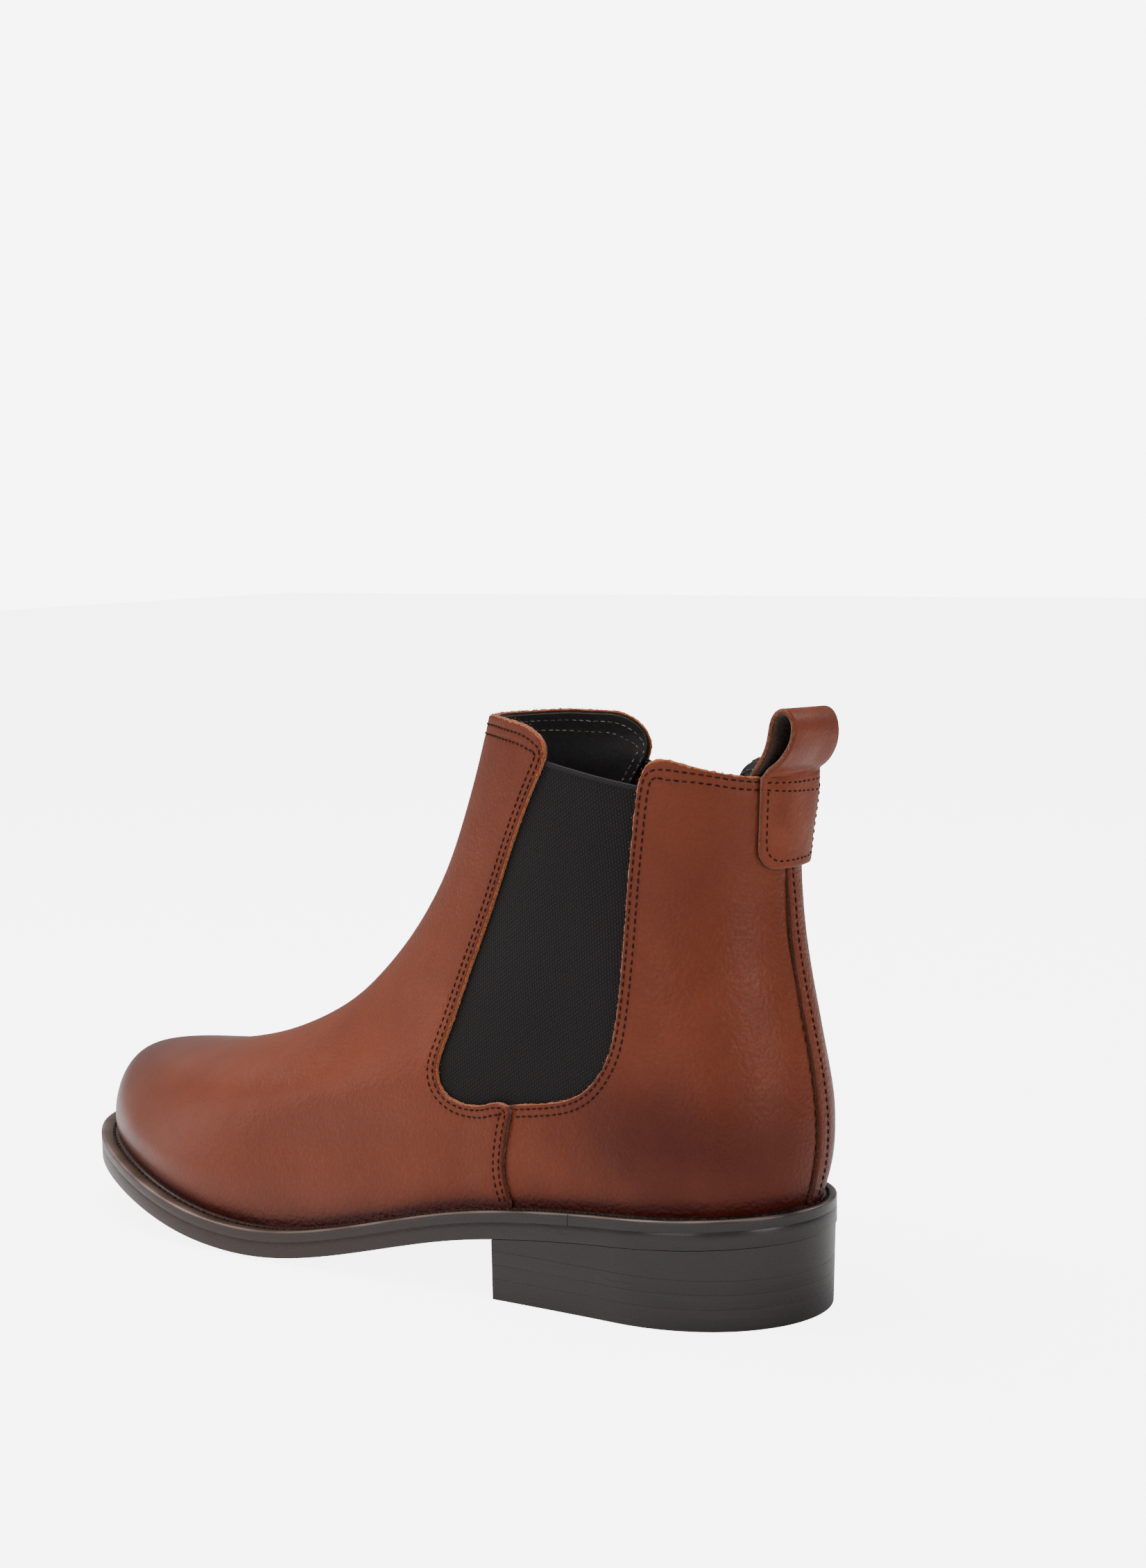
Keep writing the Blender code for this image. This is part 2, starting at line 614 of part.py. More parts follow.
def main():
    clear_scene()
    boot = bpy.data.collections.new("chelsea_boot")
    cutters = bpy.data.collections.new("cutters")
    for collection in (boot, cutters):
        bpy.context.scene.collection.children.link(collection)
    look = {
        "leather": material("leather", (0.26, 0.085, 0.045), 0.42),
        "elastic": material("elastic", (0.012, 0.010, 0.011), 0.85),
        "lining": material("lining", (0.022, 0.016, 0.015), 0.7),
        "edge": material("sole_edge", (0.028, 0.016, 0.012), 0.38),
        "sole": material("outsole", (0.035, 0.020, 0.014), 0.5),
        "rubber": material("rubber", (0.015, 0.013, 0.012), 0.7),
        "board": material("board", (0.42, 0.28, 0.16), 0.8),
        "cork": material("cork", (0.36, 0.20, 0.09), 0.9),
        "stiffener": material("stiffener", (0.5, 0.42, 0.3), 0.8),
        "steel": material("steel", (0.55, 0.56, 0.58), 0.35, 1.0),
        "brass": material("brass", (0.65, 0.45, 0.16), 0.35, 1.0),
    }
    front_panel("vamp", LEATHER, 33, look["leather"], boot)
    quarter_panel("quarter_outer", 1, LEATHER, 9, look["leather"], boot)
    quarter_panel("quarter_inner", -1, LEATHER, 9, look["leather"], boot)
    gore("gore_outer", 1, look["elastic"], boot)
    gore("gore_inner", -1, look["elastic"], boot)
    front_panel("vamp_lining", LINING, 33, look["lining"], boot)
    back_lining("quarter_lining", LINING, 17, look["lining"], boot)
    counter(look["stiffener"], boot)
    toe_puff(look["stiffener"], boot)
    outside = (-GAP - TAB_THICK, -GAP)
    tab_leg("pull_tab_outer_leg", TAB_BOTTOM_Z, outside, 0.5, look["leather"], boot)
    inside = (LINING[1] + GAP, LINING[1] + GAP + TAB_THICK)
    tab_leg("pull_tab_inner_leg", TAB_INNER_BOTTOM_Z, inside, 0.3, look["leather"], boot)
    pull_loop(look["leather"], boot)
    sole_parts(look, boot, cutters)
    bottom_parts(look, boot)
    for cutter in cutters.objects:
        cutter.hide_render = True
        cutter.display_type = "WIRE"


main()
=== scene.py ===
"""Chelsea boot, left foot: the finished looks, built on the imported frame.

The outer side is +X, the toe points to -Y and +Z is up. Every upper piece lies on one skin, the outer
surface of the lasted boot. A point of the skin has a girth c (0 at the back seam, 1 at the front, 2 at
the back seam again, first along the outer side) and a level v (0 at the feather line over the welt).
Lengths are millimetres until a mesh is made; s is the distance from the back of the heel to the toe.
"""

import json
import math

import bmesh
import bpy
import numpy as np
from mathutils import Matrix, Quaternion, Vector
from mathutils.geometry import delaunay_2d_cdt
from mathutils.kdtree import KDTree

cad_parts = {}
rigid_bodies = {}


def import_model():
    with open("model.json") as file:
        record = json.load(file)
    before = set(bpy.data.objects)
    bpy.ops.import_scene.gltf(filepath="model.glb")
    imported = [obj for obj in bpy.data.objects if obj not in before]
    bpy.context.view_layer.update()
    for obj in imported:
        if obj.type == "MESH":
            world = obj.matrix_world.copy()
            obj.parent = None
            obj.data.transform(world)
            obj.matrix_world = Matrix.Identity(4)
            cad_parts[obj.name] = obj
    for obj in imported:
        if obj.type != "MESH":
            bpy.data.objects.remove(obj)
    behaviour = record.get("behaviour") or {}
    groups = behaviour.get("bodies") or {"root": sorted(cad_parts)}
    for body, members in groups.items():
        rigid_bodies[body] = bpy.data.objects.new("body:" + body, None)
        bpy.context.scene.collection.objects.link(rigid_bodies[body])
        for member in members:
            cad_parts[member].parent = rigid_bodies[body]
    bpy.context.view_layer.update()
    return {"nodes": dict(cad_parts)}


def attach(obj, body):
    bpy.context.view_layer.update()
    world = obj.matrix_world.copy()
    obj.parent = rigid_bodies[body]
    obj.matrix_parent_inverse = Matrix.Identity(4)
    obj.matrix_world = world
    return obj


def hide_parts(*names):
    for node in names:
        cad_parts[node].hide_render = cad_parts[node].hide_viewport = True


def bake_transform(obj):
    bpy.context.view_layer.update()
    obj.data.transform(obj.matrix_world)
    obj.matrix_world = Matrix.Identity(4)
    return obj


for obj in list(bpy.data.objects):
    bpy.data.objects.remove(obj, do_unlink=True)
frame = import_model()

MM = 0.001
SMALL = 1e-3

# The last and the sole, as in the solid model
ORIGIN_S = 43.0
WELT_TOP = ((0, 31), (60, 27.6), (100, 22.3), (135, 13.8), (169, 8.5), (200, 11.2), (235, 19), (270, 25))
WELT_THICK = 3.1
WELT_INNER = -5.0
OUTSOLE_THICK = 4.6
GAP = 0.3
FEATHER_GAP = 0.5
HEEL_LENGTH = 84.0
HEEL_TAPER = 1.5
HEEL_INSET = 0.12
RAND_END_S = 58.0
HEEL_CUTS = (0.0, 6.12, 10.05, 13.95)
HEEL_SEAM = 0.02

# Levels of the skin, the lowest first: (s, z) at the back, (s, z) at the front, how far the rounding
# reaches at both, and the half widths at five stations from back to front, outer side and inner side
LEVELS = (
    (4.3, 31.3, 264.2, 22.2, 0.15, 0.30, (31, 31.5, 35, 40.2, 36.7), (31, 29, 30.5, 41.5, 37)),
    (1.8, 41, 265, 29.3, 0.15, 0.31, (33, 32.5, 35, 41.5, 38), (33, 31, 31.5, 42, 38)),
    (0.9, 50, 263.6, 38.7, 0.16, 0.36, (33.5, 33, 34, 39, 35), (33.5, 32, 32, 39, 35)),
    (1.2, 58, 252.1, 48.3, 0.17, 0.43, (33.5, 33, 33.5, 35.5, 30), (33.5, 32.5, 32, 35, 29)),
    (2.4, 67, 227.8, 52.6, 0.20, 0.51, (33, 33, 32.5, 32, 25.5), (33, 32.5, 31, 31, 24.5)),
    (4.2, 76, 197, 58.1, 0.23, 0.58, (32.5, 33, 32, 31, 26), (32.5, 32.5, 31, 29.5, 25)),
    (6.2, 85, 168, 68.5, 0.26, 0.58, (32, 33, 32, 30, 27), (32, 32.5, 31, 29, 26)),
    (8.6, 98, 146, 84.5, 0.32, 0.55, (31.5, 32.5, 32, 30, 27), (31.5, 32, 31, 29, 27)),
    (9.8, 111, 128, 105, 0.40, 0.52, (31, 31.5, 31, 29.5, 27), (31, 31, 30.5, 29, 27)),
    (9.7, 125, 115.5, 128, 0.44, 0.50, (30.5, 31, 31, 29.5, 27), (30.5, 31, 31, 29.5, 27)),
    (9, 143, 105.5, 155, 0.45, 0.48, (30.5, 31, 31, 29.5, 27), (30.5, 31, 31, 29.5, 27)),
    (8.6, 155, 102, 169, 0.45, 0.48, (30.5, 31, 31, 29.5, 27), (30.5, 31, 31, 29.5, 27)),
)
TOP = len(LEVELS) - 1
DROOP_LEVELS = 6.0
TOE_SQUARE = 0.3
TOE_SWING = 6.8
SWING_LEVELS = (1.0, 6.0)
FOOT_V = -0.035
FOOT_DROP = 12.0

# On the inner side the ears and the top line sit lower and further forward
INNER_DROP = 0.33
INNER_DROP_FRONT = (0.48, 0.66)
INNER_DROP_EASE = 0.7
INNER_SHIFT = 0.045
INNER_BACK = (0.12, 0.30)
INNER_FRONT = (0.66, 0.95)
INNER_RISE = (6.0, 9.8)

# Edges of the leather panels in side view, (s, z), from the bottom up
SIDE_SEAM = ((80, 27), (81.7, 35), (80.8, 43.5), (79.4, 49.5), (78.4, 53))
VAMP_EDGE = (
    (78.4, 53), (79.6, 54.2), (83.5, 54.7), (88, 53.4), (92.5, 52.7), (98.5, 53.2), (104, 56.4),
    (105.8, 61.5), (104.5, 68), (98, 84.5), (88.6, 107), (77.4, 131), (69.2, 145), (67.2, 148.8),
    (67, 151.6), (68.6, 154.1), (71.6, 155.9), (76.3, 157.2), (83.4, 157.9), (91.2, 158.3), (103.5, 157.6),
)
QUARTER_EDGE = (
    (86, 52.2), (78.6, 54.4), (71.2, 55.6), (65.4, 56.6), (59.2, 58.2), (53, 61.5), (48.3, 66.4),
    (44.6, 73), (42.3, 82.5), (41.3, 95), (41, 106), (40.2, 119), (38.6, 131.5), (36.8, 142.5),
    (35.8, 145.8), (34.4, 148.1), (32.4, 149.3), (30, 149.6), (27.4, 148.9), (23.5, 147.6), (18.5, 146.1),
    (14, 144.9), (11, 144.3), (9, 144.1),
)
GORE_BACK = QUARTER_EDGE[3:14]
GORE_FRONT = ((89.5, 53.6), (100, 54.2), (105.6, 60), (105.3, 66.5), *VAMP_EDGE[9:12], (68.2, 146.5))
GORE_MARGIN = 4.5
GORE_DEPTH = 1.75
GORE_THICK = 0.8
GORE_SWELL = 0.35
GORE_HEM = (0.985, 0.992)

LEATHER_THICK = 1.6
LINING_DEPTH = 3.4
LINING_THICK = 0.75
LAP_RAISE = 1.05
LAP_DROP = 1.65
BACK_LAP_RAISE = 0.75
BACK_LAP_LEVELS = (7.9, 8.8)
SIDE_UNDERLAP = 7.0
SEAM_FADE_Z = (53.5, 58.0)
RIM = ((0.12, 0.16), (0.4, 0.3), (0.72, 0.26), (0.94, 0.08))
LINING_RIM = ((0.5, 0.12),)
LINING_FUZZ = 0.03
TORN_WIDTH = 0.27
TORN_Z = 143.0

# Spacings of the points of a panel: its rings along the border, its border and its middle
ROWS = (0.22, 0.5, 0.85, 1.3, 1.8, 2.4, 3.0, 3.7, 4.5, 5.5, 6.8)
LINING_ROWS = (0.4, 1.0, 2.0, 3.5)
LINING_STEP = 2.6
EDGE_STEP = 0.7
FOOT_STEP = 1.4
FILL_STEP = 1.9

# Stitching: distances of the double rows from the edge at the seams and at the top line
SEAM_ROWS = (0.95, 2.85)
TOP_ROWS = (2.3, 4.5)
VAMP_ROW_RISE = (149.0, 156.0)
QUARTER_ROW_RISE = (146.0, 150.4)
BACK_ROW = ((-0.021, 8.75), (-0.021, 0.12))
LINING_ROW_Z = 112.0
STITCH_PITCH = 2.13
STITCH_LENGTH = 1.4
STITCH_RADIUS = 0.22
WELT_ROW = 1.25
WELT_PITCH = 2.7
BEAD_RINGS = ((-1.0, 0.45), (-0.72, 0.9), (-0.3, 1.0), (0.3, 1.0), (0.72, 0.9), (1.0, 0.45))
BEAD_SIDES = 6

# Pull tab
TAB_HALF_WIDTH = 11.8
TAB_BOTTOM_Z = 120.5
TAB_INNER_BOTTOM_Z = 130.0
TAB_OUTER_DEPTH = -1.15
TAB_INNER_DEPTH = 5.3
TAB_THICK = 1.7
TAB_RIM = ((0.25, 0.12), (0.6, 0.16))
TAB_CENTRE = -1.3
TAB_STAND_OFF = 1.9
TAB_STAND_X = (3.0, 12.0)
TAB_TWIST = 1.1
TAB_TILT = 0.5
TAB_ROW_INSET = 1.4
TAB_ROW_Z = 141.3
TAB_PATH = (
    (7.9, 145.6), (6.1, 147.5), (4.2, 149.7), (2.6, 152.4), (1.8, 155.6), (2.2, 158.8), (4.1, 160.9),
    (6.5, 160.8), (8.4, 158.4), (9.1, 155), (9.8, 151.8), (11.2, 148.6), (13, 145.4),
)

# Camera
CAMERA_PLACE = (0.60322, 0.43736, 0.21887)
CAMERA_VIEW = (-0.75972607, -0.62262515, -0.18749461)
CAMERA_ROLL = -1.376
CAMERA_LENS = 64.34
CAMERA_SHIFT = (0.0313, 0.1522)

# Finishes: the leather's light and deep tones and its dark tone, for burnished places and painted shade, and
# the elastic's ribs in metres
TAN = ((0.246, 0.057, 0.025), (0.178, 0.037, 0.015), (0.056, 0.006, 0.003))
EDGE_INK = (0.030, 0.007, 0.005)
RIB_WIDTH = 0.00085
RIB_LEAN = 0.10
CELL_HEIGHT = 0.00105

# Floor and light
FLOOR_HALF = 4
FLOOR_Z = -0.0002
WORLD_LIGHT = 0.27
WORLD_SEEN = 7.4
FLOOR_GLOW = 5.7


# ---------------- the skin

def spline(knots, values):
    """A natural cubic through the values at the knots, as a function."""
    x = np.asarray(knots, float)
    y = np.asarray(values, float)
    count = len(x)
    step = np.diff(x)
    matrix = np.zeros((count, count))
    matrix[0, 0] = matrix[-1, -1] = 1.0
    right = np.zeros(y.shape)
    for i in range(1, count - 1):
        matrix[i, i - 1 : i + 2] = step[i - 1], 2 * (step[i - 1] + step[i]), step[i]
        right[i] = 6 * ((y[i + 1] - y[i]) / step[i] - (y[i] - y[i - 1]) / step[i - 1])
    bend = np.linalg.solve(matrix, right)

    def value(at):
        at = np.clip(np.asarray(at, float), x[0], x[-1])
        i = np.clip(np.searchsorted(x, at) - 1, 0, count - 2)
        shape = at.shape + (1,) * (y.ndim - 1)
        after = ((at - x[i]) / step[i]).reshape(shape)
        before = 1 - after
        scale = step[i].reshape(shape) ** 2 / 6
        curve = ((before**3 - before) * bend[i] + (after**3 - after) * bend[i + 1]) * scale
        return before * y[i] + after * y[i + 1] + curve

    return value


welt_top = spline(*zip(*WELT_TOP))
level_line = spline(range(TOP + 1), [row[:6] for row in LEVELS])
level_width = spline(range(TOP + 1), [row[6] + row[7] for row in LEVELS])
station_share = spline((0.0, 0.25, 0.5, 0.75, 1.0), np.eye(5))


def smoothstep(value, low, high):
    t = np.clip((value - low) / (high - low), 0, 1)
    return t * t * (3 - 2 * t)


def skin_design(c, v):
    """Points of the skin as (x, s, z)."""
    c, v = np.broadcast_arrays(np.asarray(c, float) % 2.0, np.asarray(v, float))
    outer = c <= 1.0
    share = (1 - np.cos(np.pi * np.where(outer, c, 2.0 - c))) / 2
    back_s, back_z, front_s, front_z, back_cap, front_cap = np.moveaxis(level_line(v), -1, 0)
    s = back_s + (front_s - back_s) * share
    first = LEVELS[0]
    chord = first[1] + (first[3] - first[1]) * (s - first[0]) / (first[2] - first[0])
    droop = np.clip(1 - v / DROOP_LEVELS, 0, 1) ** 1.5
    z = back_z + (front_z - back_z) * share + droop * (welt_top(s) + FEATHER_GAP - chord)
    widths = level_width(v)
    widths = np.where(outer[..., None], widths[..., :5], widths[..., 5:])
    width = (widths * station_share(share)).sum(-1)
    back_round = np.sqrt(1 - np.clip(1 - share / back_cap, 0, 1) ** 2)
    power = 2 + TOE_SQUARE * np.clip(1 - v / 4, 0, 1)
    front_round = (1 - np.clip(1 - (1 - share) / front_cap, 0, 1) ** power) ** (1 / power)
    swing = TOE_SWING * np.clip(2 * share - 1, 0, 1) ** 2 * (1 - smoothstep(v, *SWING_LEVELS))
    return np.stack([np.where(outer, 1, -1) * width * back_round * front_round - swing, s, z], -1)


def placed(points):
    """(x, s, z) as world millimetres."""
    x, s, z = np.moveaxis(np.asarray(points, float), -1, 0)
    return np.stack([x, ORIGIN_S - s, z], -1)


def unit(vectors):
    return vectors / np.maximum(np.linalg.norm(vectors, axis=-1, keepdims=True), 1e-12)


def surface(c, v):
    """Points of the skin, its outward normals, and how the point moves with girth and with level."""
    c, v = np.broadcast_arrays(np.asarray(c, float), np.asarray(v, float))
    level = np.clip(v, 0, TOP)
    low = np.clip(level - SMALL, 0, TOP)
    high = np.clip(level + SMALL, 0, TOP)
    point = placed(skin_design(c, level))
    along = (placed(skin_design(c + SMALL, level)) - placed(skin_design(c - SMALL, level))) / (2 * SMALL)
    up = (placed(skin_design(c, high)) - placed(skin_design(c, low))) / (high - low)[..., None]
    point[..., 2] += FOOT_DROP * np.minimum(v, 0)
    return point, unit(np.cross(up, along)), along, up


def skin(line, depth=0.0):
    """World points of (girth, level) rows at a depth under the skin."""
    point, normal, _, _ = surface(line[..., 0], line[..., 1])
    return point - normal * np.asarray(depth, float)[..., None]


def girth_of(s, v):
    line = level_line(v)
    share = np.clip((s - line[..., 0]) / (line[..., 2] - line[..., 0]), 0, 1)
    return np.arccos(1 - 2 * share) / np.pi


def locate(points):
    """Girth and level on the outer side of side-view points (s, z); the inner side is its mirror."""
    s, z = np.asarray(points, float).T
    low = np.zeros(len(s))
    high = np.full(len(s), float(TOP))
    for _ in range(40):
        middle = (low + high) / 2
        under = skin_design(girth_of(s, middle), middle)[..., 2] < z
        low = np.where(under, middle, low)
        high = np.where(under, high, middle)
    return np.stack([girth_of(s, low), low], -1)


def travelled(points):
    """The distance covered at each point of a line."""
    return np.concatenate([[0], np.cumsum(np.linalg.norm(np.diff(points, axis=0), axis=1))])


def at_reach(at, reach, line):
    """Points of a line at given distances."""
    return np.stack([np.interp(at, reach, column) for column in line.T], -1)


def smooth_line(points, count):
    """Points evenly spaced along a smooth curve through the given ones."""
    points = np.asarray(points, float)
    reach = travelled(points)
    return spline(reach, points)(np.linspace(0, reach[-1], count))


def moved_out(line, distance):
    along = unit(np.gradient(line, axis=0))
    return line + distance * np.stack([-along[:, 1], along[:, 0]], -1)


def mirrored(line, whole_turn=2.0):
    """The inner side's line for one given on the outer side."""
    c, v = line[..., 0], line[..., 1]
    share = smoothstep(c, *INNER_BACK) * smoothstep(v, *INNER_RISE) * (1 - smoothstep(c, *INNER_FRONT))
    drop = INNER_DROP * share * (1 - INNER_DROP_EASE * smoothstep(c, *INNER_DROP_FRONT))
    return np.stack([whole_turn - c - INNER_SHIFT * share, v - drop], -1)


def even(line, step):
    """A line on the skin resampled at an even spacing."""
    dense = np.linspace(0, 1, 4)[None, :-1, None]
    fine = (line[:-1, None] * (1 - dense) + line[1:, None] * dense).reshape(-1, 2)
    fine = np.concatenate([fine, line[-1:]])
    reach = travelled(skin(fine))
    count = max(2, int(round(reach[-1] / step)) + 1)
    return at_reach(np.linspace(0, reach[-1], count), reach, fine)


def inset(line, distance, closed=False):
    """A line on the skin moved to its left by a distance."""
    if closed:
        step = np.roll(line, -1, 0) - np.roll(line, 1, 0)
    else:
        step = np.gradient(line, axis=0)
    _, normal, along, up = surface(line[:, 0], line[:, 1])
    tangent = unit(step[:, :1] * along + step[:, 1:] * up)
    side = np.cross(normal, tangent)
    jacobian = np.stack([along, up], -1)
    square = np.einsum("nij,nik->njk", jacobian, jacobian)
    right = np.einsum("nij,ni->nj", jacobian, side)
    move = np.linalg.solve(square, right[..., None])[..., 0]
    turn = step[:, 0] * move[:, 1] - step[:, 1] * move[:, 0]
    return line + (distance * np.sign(turn))[:, None] * move


def nearest(points, targets):
    """Distance from each point to the nearest target."""
    tree = KDTree(len(targets))
    for i, p in enumerate(targets):
        tree.insert(p, i)
    tree.balance()
    return np.array([tree.find(p)[2] for p in points])


def noise(points, size, seed=0):
    """Smooth pseudo-random values about 0, varying over a size."""
    turn = np.random.default_rng(seed)
    total = np.zeros(len(points))
    for _ in range(6):
        wave = turn.normal(size=3)
        wave *= 2 * np.pi / (size * np.linalg.norm(wave)) * turn.uniform(0.7, 1.6)
        total += np.sin(points @ wave + turn.uniform(0, 2 * np.pi))
    return total / 3


# ---------------- meshes

def linked(name, data):
    """A new object in the scene."""
    obj = bpy.data.objects.new(name, data)
    bpy.context.scene.collection.objects.link(obj)
    return obj


def add_mesh(name, points, faces, materials, slots=None, values=None, sharp=0.6):
    """A mesh object from world millimetres, with normals out and named values on its points."""
    mesh = bpy.data.meshes.new(name)
    mesh.from_pydata((np.asarray(points) * MM).tolist(), [], [tuple(int(i) for i in f) for f in faces])
    for finish in materials:
        mesh.materials.append(finish)
    if slots is not None:
        mesh.polygons.foreach_set("material_index", np.asarray(slots, np.int32))
    for key, value in (values or {}).items():
        layer = mesh.attributes.new(key, "FLOAT", "POINT")
        layer.data.foreach_set("value", np.asarray(value, np.float32))
    work = bmesh.new()
    work.from_mesh(mesh)
    bmesh.ops.recalc_face_normals(work, faces=work.faces)
    work.to_mesh(mesh)
    work.free()
    mesh.shade_smooth()
    mesh.set_sharp_from_angle(angle=sharp)
    return linked(name, mesh)


def grid_faces(rows, columns, closed=False, first=0):
    """Quads between neighbouring rows of points, all the way round where each row is a ring."""
    faces = []
    for a in range(first, first + (rows - 1) * columns, columns):
        for i in range(columns if closed else columns - 1):
            j = (i + 1) % columns
            faces.append((a + i, a + j, a + columns + j, a + columns + i))
    return faces


def grid_rim(rows, columns):
    """Numbers of the points round a grid's border."""
    grid = np.arange(rows * columns).reshape(rows, columns)
    return np.concatenate([grid[0], grid[1:, -1], grid[-1, -2::-1], grid[-2:0:-1, 0]])


def both_sides(faces, count):
    """The faces of a sheet and of its back, whose points come count later."""
    return [tuple(f) for f in faces] + [tuple(count + i for i in reversed(f)) for f in faces]


def rim_faces(strips):
    """Quads across a cut edge, from each closed strip of points to the next."""
    faces = []
    for a, b in zip(strips, strips[1:]):
        faces += zip(a, b, np.roll(b, -1), np.roll(a, -1))
    return faces


def inside(points, border):
    """Which plane points lie in a closed border."""
    count = np.zeros(len(points), int)
    for (ax, ay), (bx, by) in zip(border, np.roll(border, -1, 0)):
        if ay == by:
            continue
        crosses = (ay > points[:, 1]) != (by > points[:, 1])
        count += crosses & (points[:, 0] < (bx - ax) * (points[:, 1] - ay) / (by - ay) + ax)
    return count % 2 == 1


def fill_points(border, step):
    """Even rows of (girth, level) points inside a border."""
    rows = []
    low, high = border[:, 1].min(), border[:, 1].max()
    trace = np.linspace(border[:, 0].min(), border[:, 0].max(), 240)
    v = max(low, 0.0) + 0.05
    odd = False
    while v < high:
        place, _, _, up = surface(trace, np.full_like(trace, v))
        reach = travelled(place)
        at = np.arange(step * (0.5 if odd else 1.0), reach[-1], step)
        rows.append(np.stack([np.interp(at, reach, trace), np.full(len(at), v)], -1))
        v += 0.9 * step / np.quantile(np.linalg.norm(up, axis=1), 0.8)
        odd = not odd
    rows = np.concatenate(rows)
    return rows[inside(rows, border)]


def triangulate(border, rows=ROWS, step=FILL_STEP):
    """Points of a panel, its border first, and the triangles between them."""
    edge = skin(border)
    parts = [border]
    for distance in rows:
        ring = inset(border, distance, closed=True)
        ring = ring[inside(ring, border)]
        keep = nearest(skin(ring), edge) > 0.9 * distance
        parts.append(ring[keep])
    fill = fill_points(border, step)
    parts.append(fill[nearest(skin(fill), edge) > rows[-1] + 0.6 * step])
    points = np.concatenate(parts)
    plane = [Vector((180 * c, 12 * v)) for c, v in points]
    made = delaunay_2d_cdt(plane, [], [list(range(len(border)))], 1, 1e-5)
    where = [source[0] for source in made[3]]
    faces = [[where[i] for i in face] for face in made[2]]
    return points, [f for f in faces if len(set(f)) == 3]


def add_panel(name, border, depth_of, thick, materials, rim, values_of=None, rows=ROWS, step=FILL_STEP,
              fuzz=0.16, fibres=None):
    """A closed leather or cloth panel on the skin. depth_of gives the depth of its face; rim holds the
    depth shares and bulges of the points across its cut edge. Given a list of fibres, it tears the face
    along the ears and adds the places where fibres may stand."""
    points, faces = triangulate(border, rows, step)
    count, edge = len(points), slice(len(border))
    place, normal, _, _ = surface(points[:, 0], points[:, 1])
    away = nearest(place, place[edge])
    face = place - normal * depth_of(points, place, away)[:, None]
    back = place - normal * (depth_of(points, place, None) + thick)[:, None]
    outward = unit(place[edge] - skin(inset(border, 0.5, closed=True)))
    slots = [0] * len(faces)
    if fibres is not None:
        torn = (away < TORN_WIDTH + 0.3 * noise(place, 1.4, 9)) & (place[:, 2] > TORN_Z)
        slots = [2 if torn[list(f)].all() else 0 for f in faces]
    stack = [face, back]
    strips = [np.arange(len(border))]
    for k, (share, bulge) in enumerate(rim):
        middle = face[edge] * (1 - share) + back[edge] * share
        rough = noise(place[edge], 1.7, 3 * k + 1) + 0.6 * noise(place[edge], 0.9, 3 * k + 2)
        stack.append(middle + outward * (bulge + fuzz * rough)[:, None])
        strips.append(2 * count + k * len(border) + strips[0])
    if fibres is not None:
        fibres += zip(stack[3], outward, border[:, 1])
    cut = rim_faces(strips + [count + strips[0]])
    slots += [1] * len(faces) + [2] * len(cut)
    values = {}
    if values_of:
        for key, value in values_of(points, place, away).items():
            values[key] = np.concatenate([value, value] + [value[edge]] * len(rim))
    return add_mesh(name, np.concatenate(stack), both_sides(faces, count) + cut, materials, slots, values)


def add_fibres(name, places, finish, most=3):
    """Short fibres standing out of cut edges, each a thin closed spike."""
    turn = np.random.default_rng(7)
    points, faces = [], []
    for center, outward, _ in places:
        for _ in range(turn.integers(0, most + 1)):
            way = unit(outward + 0.75 * turn.normal(size=3))
            side = unit(np.cross(way, turn.normal(size=3)))
            other = 0.87 * np.cross(way, side)
            root = center + 0.25 * turn.normal(size=3) - 0.1 * outward
            wide = turn.uniform(0.05, 0.1)
            a = len(points)
            corners = side, other - 0.5 * side, -other - 0.5 * side
            points += [root + wide * corner for corner in corners]
            points.append(root + way * turn.uniform(0.25, 0.75))
            faces += [(a, a + 1, a + 2), (a, a + 3, a + 1), (a + 1, a + 3, a + 2), (a + 2, a + 3, a)]
    return add_mesh(name, points, faces, [finish], None, {"ink": np.zeros(len(points))}, 3.2)


def bead(center, along, normal, length, radius, rise):
    """One stitch: a short bent capsule."""
    side = np.cross(along, normal)
    points = []
    for u, share in BEAD_RINGS:
        middle = center + along * (u * length / 2) + normal * (rise * (1 - u * u) - 0.35 * rise)
        for a in np.arange(BEAD_SIDES) * 2 * np.pi / BEAD_SIDES:
            points.append(middle + radius * share * (np.cos(a) * side + 0.8 * np.sin(a) * normal))
    return points


def bead_faces(first):
    ring = range(first, first + BEAD_SIDES)
    last = (len(BEAD_RINGS) - 1) * BEAD_SIDES
    ends = [tuple(reversed(ring)), tuple(last + i for i in ring)]
    return grid_faces(len(BEAD_RINGS), BEAD_SIDES, True, first) + ends


def add_stitches(name, places, finish, length=STITCH_LENGTH, radius=STITCH_RADIUS, rise=0.2):
    """One mesh of stitches, each given by its centre, direction and normal."""
    points, faces = [], []
    turn = np.random.default_rng(len(places))
    for center, along, normal in places:
        faces += bead_faces(len(points))
        skew = unit(along + 0.07 * turn.normal(size=3))
        points += bead(center, skew, normal, length * turn.uniform(0.92, 1.06), radius, rise)
    return add_mesh(name, points, faces, [finish], sharp=3.2)


def stitch_places(line, depth_of, pitch=STITCH_PITCH, sink=0.05, thick=0.0):
    """Centres, directions and normals of stitches along a line on the skin."""
    line = even(line, pitch)
    middle = (line[1:] + line[:-1]) / 2
    place, normal, _, _ = surface(middle[:, 0], middle[:, 1])
    depth = depth_of(middle, place, None) + sink + thick
    center = place - normal * depth[:, None]
    ends = skin(line)
    along = unit(ends[1:] - ends[:-1])
    facing = normal if thick == 0 else -normal
    return list(zip(center, along, facing))


# ---------------- finishes

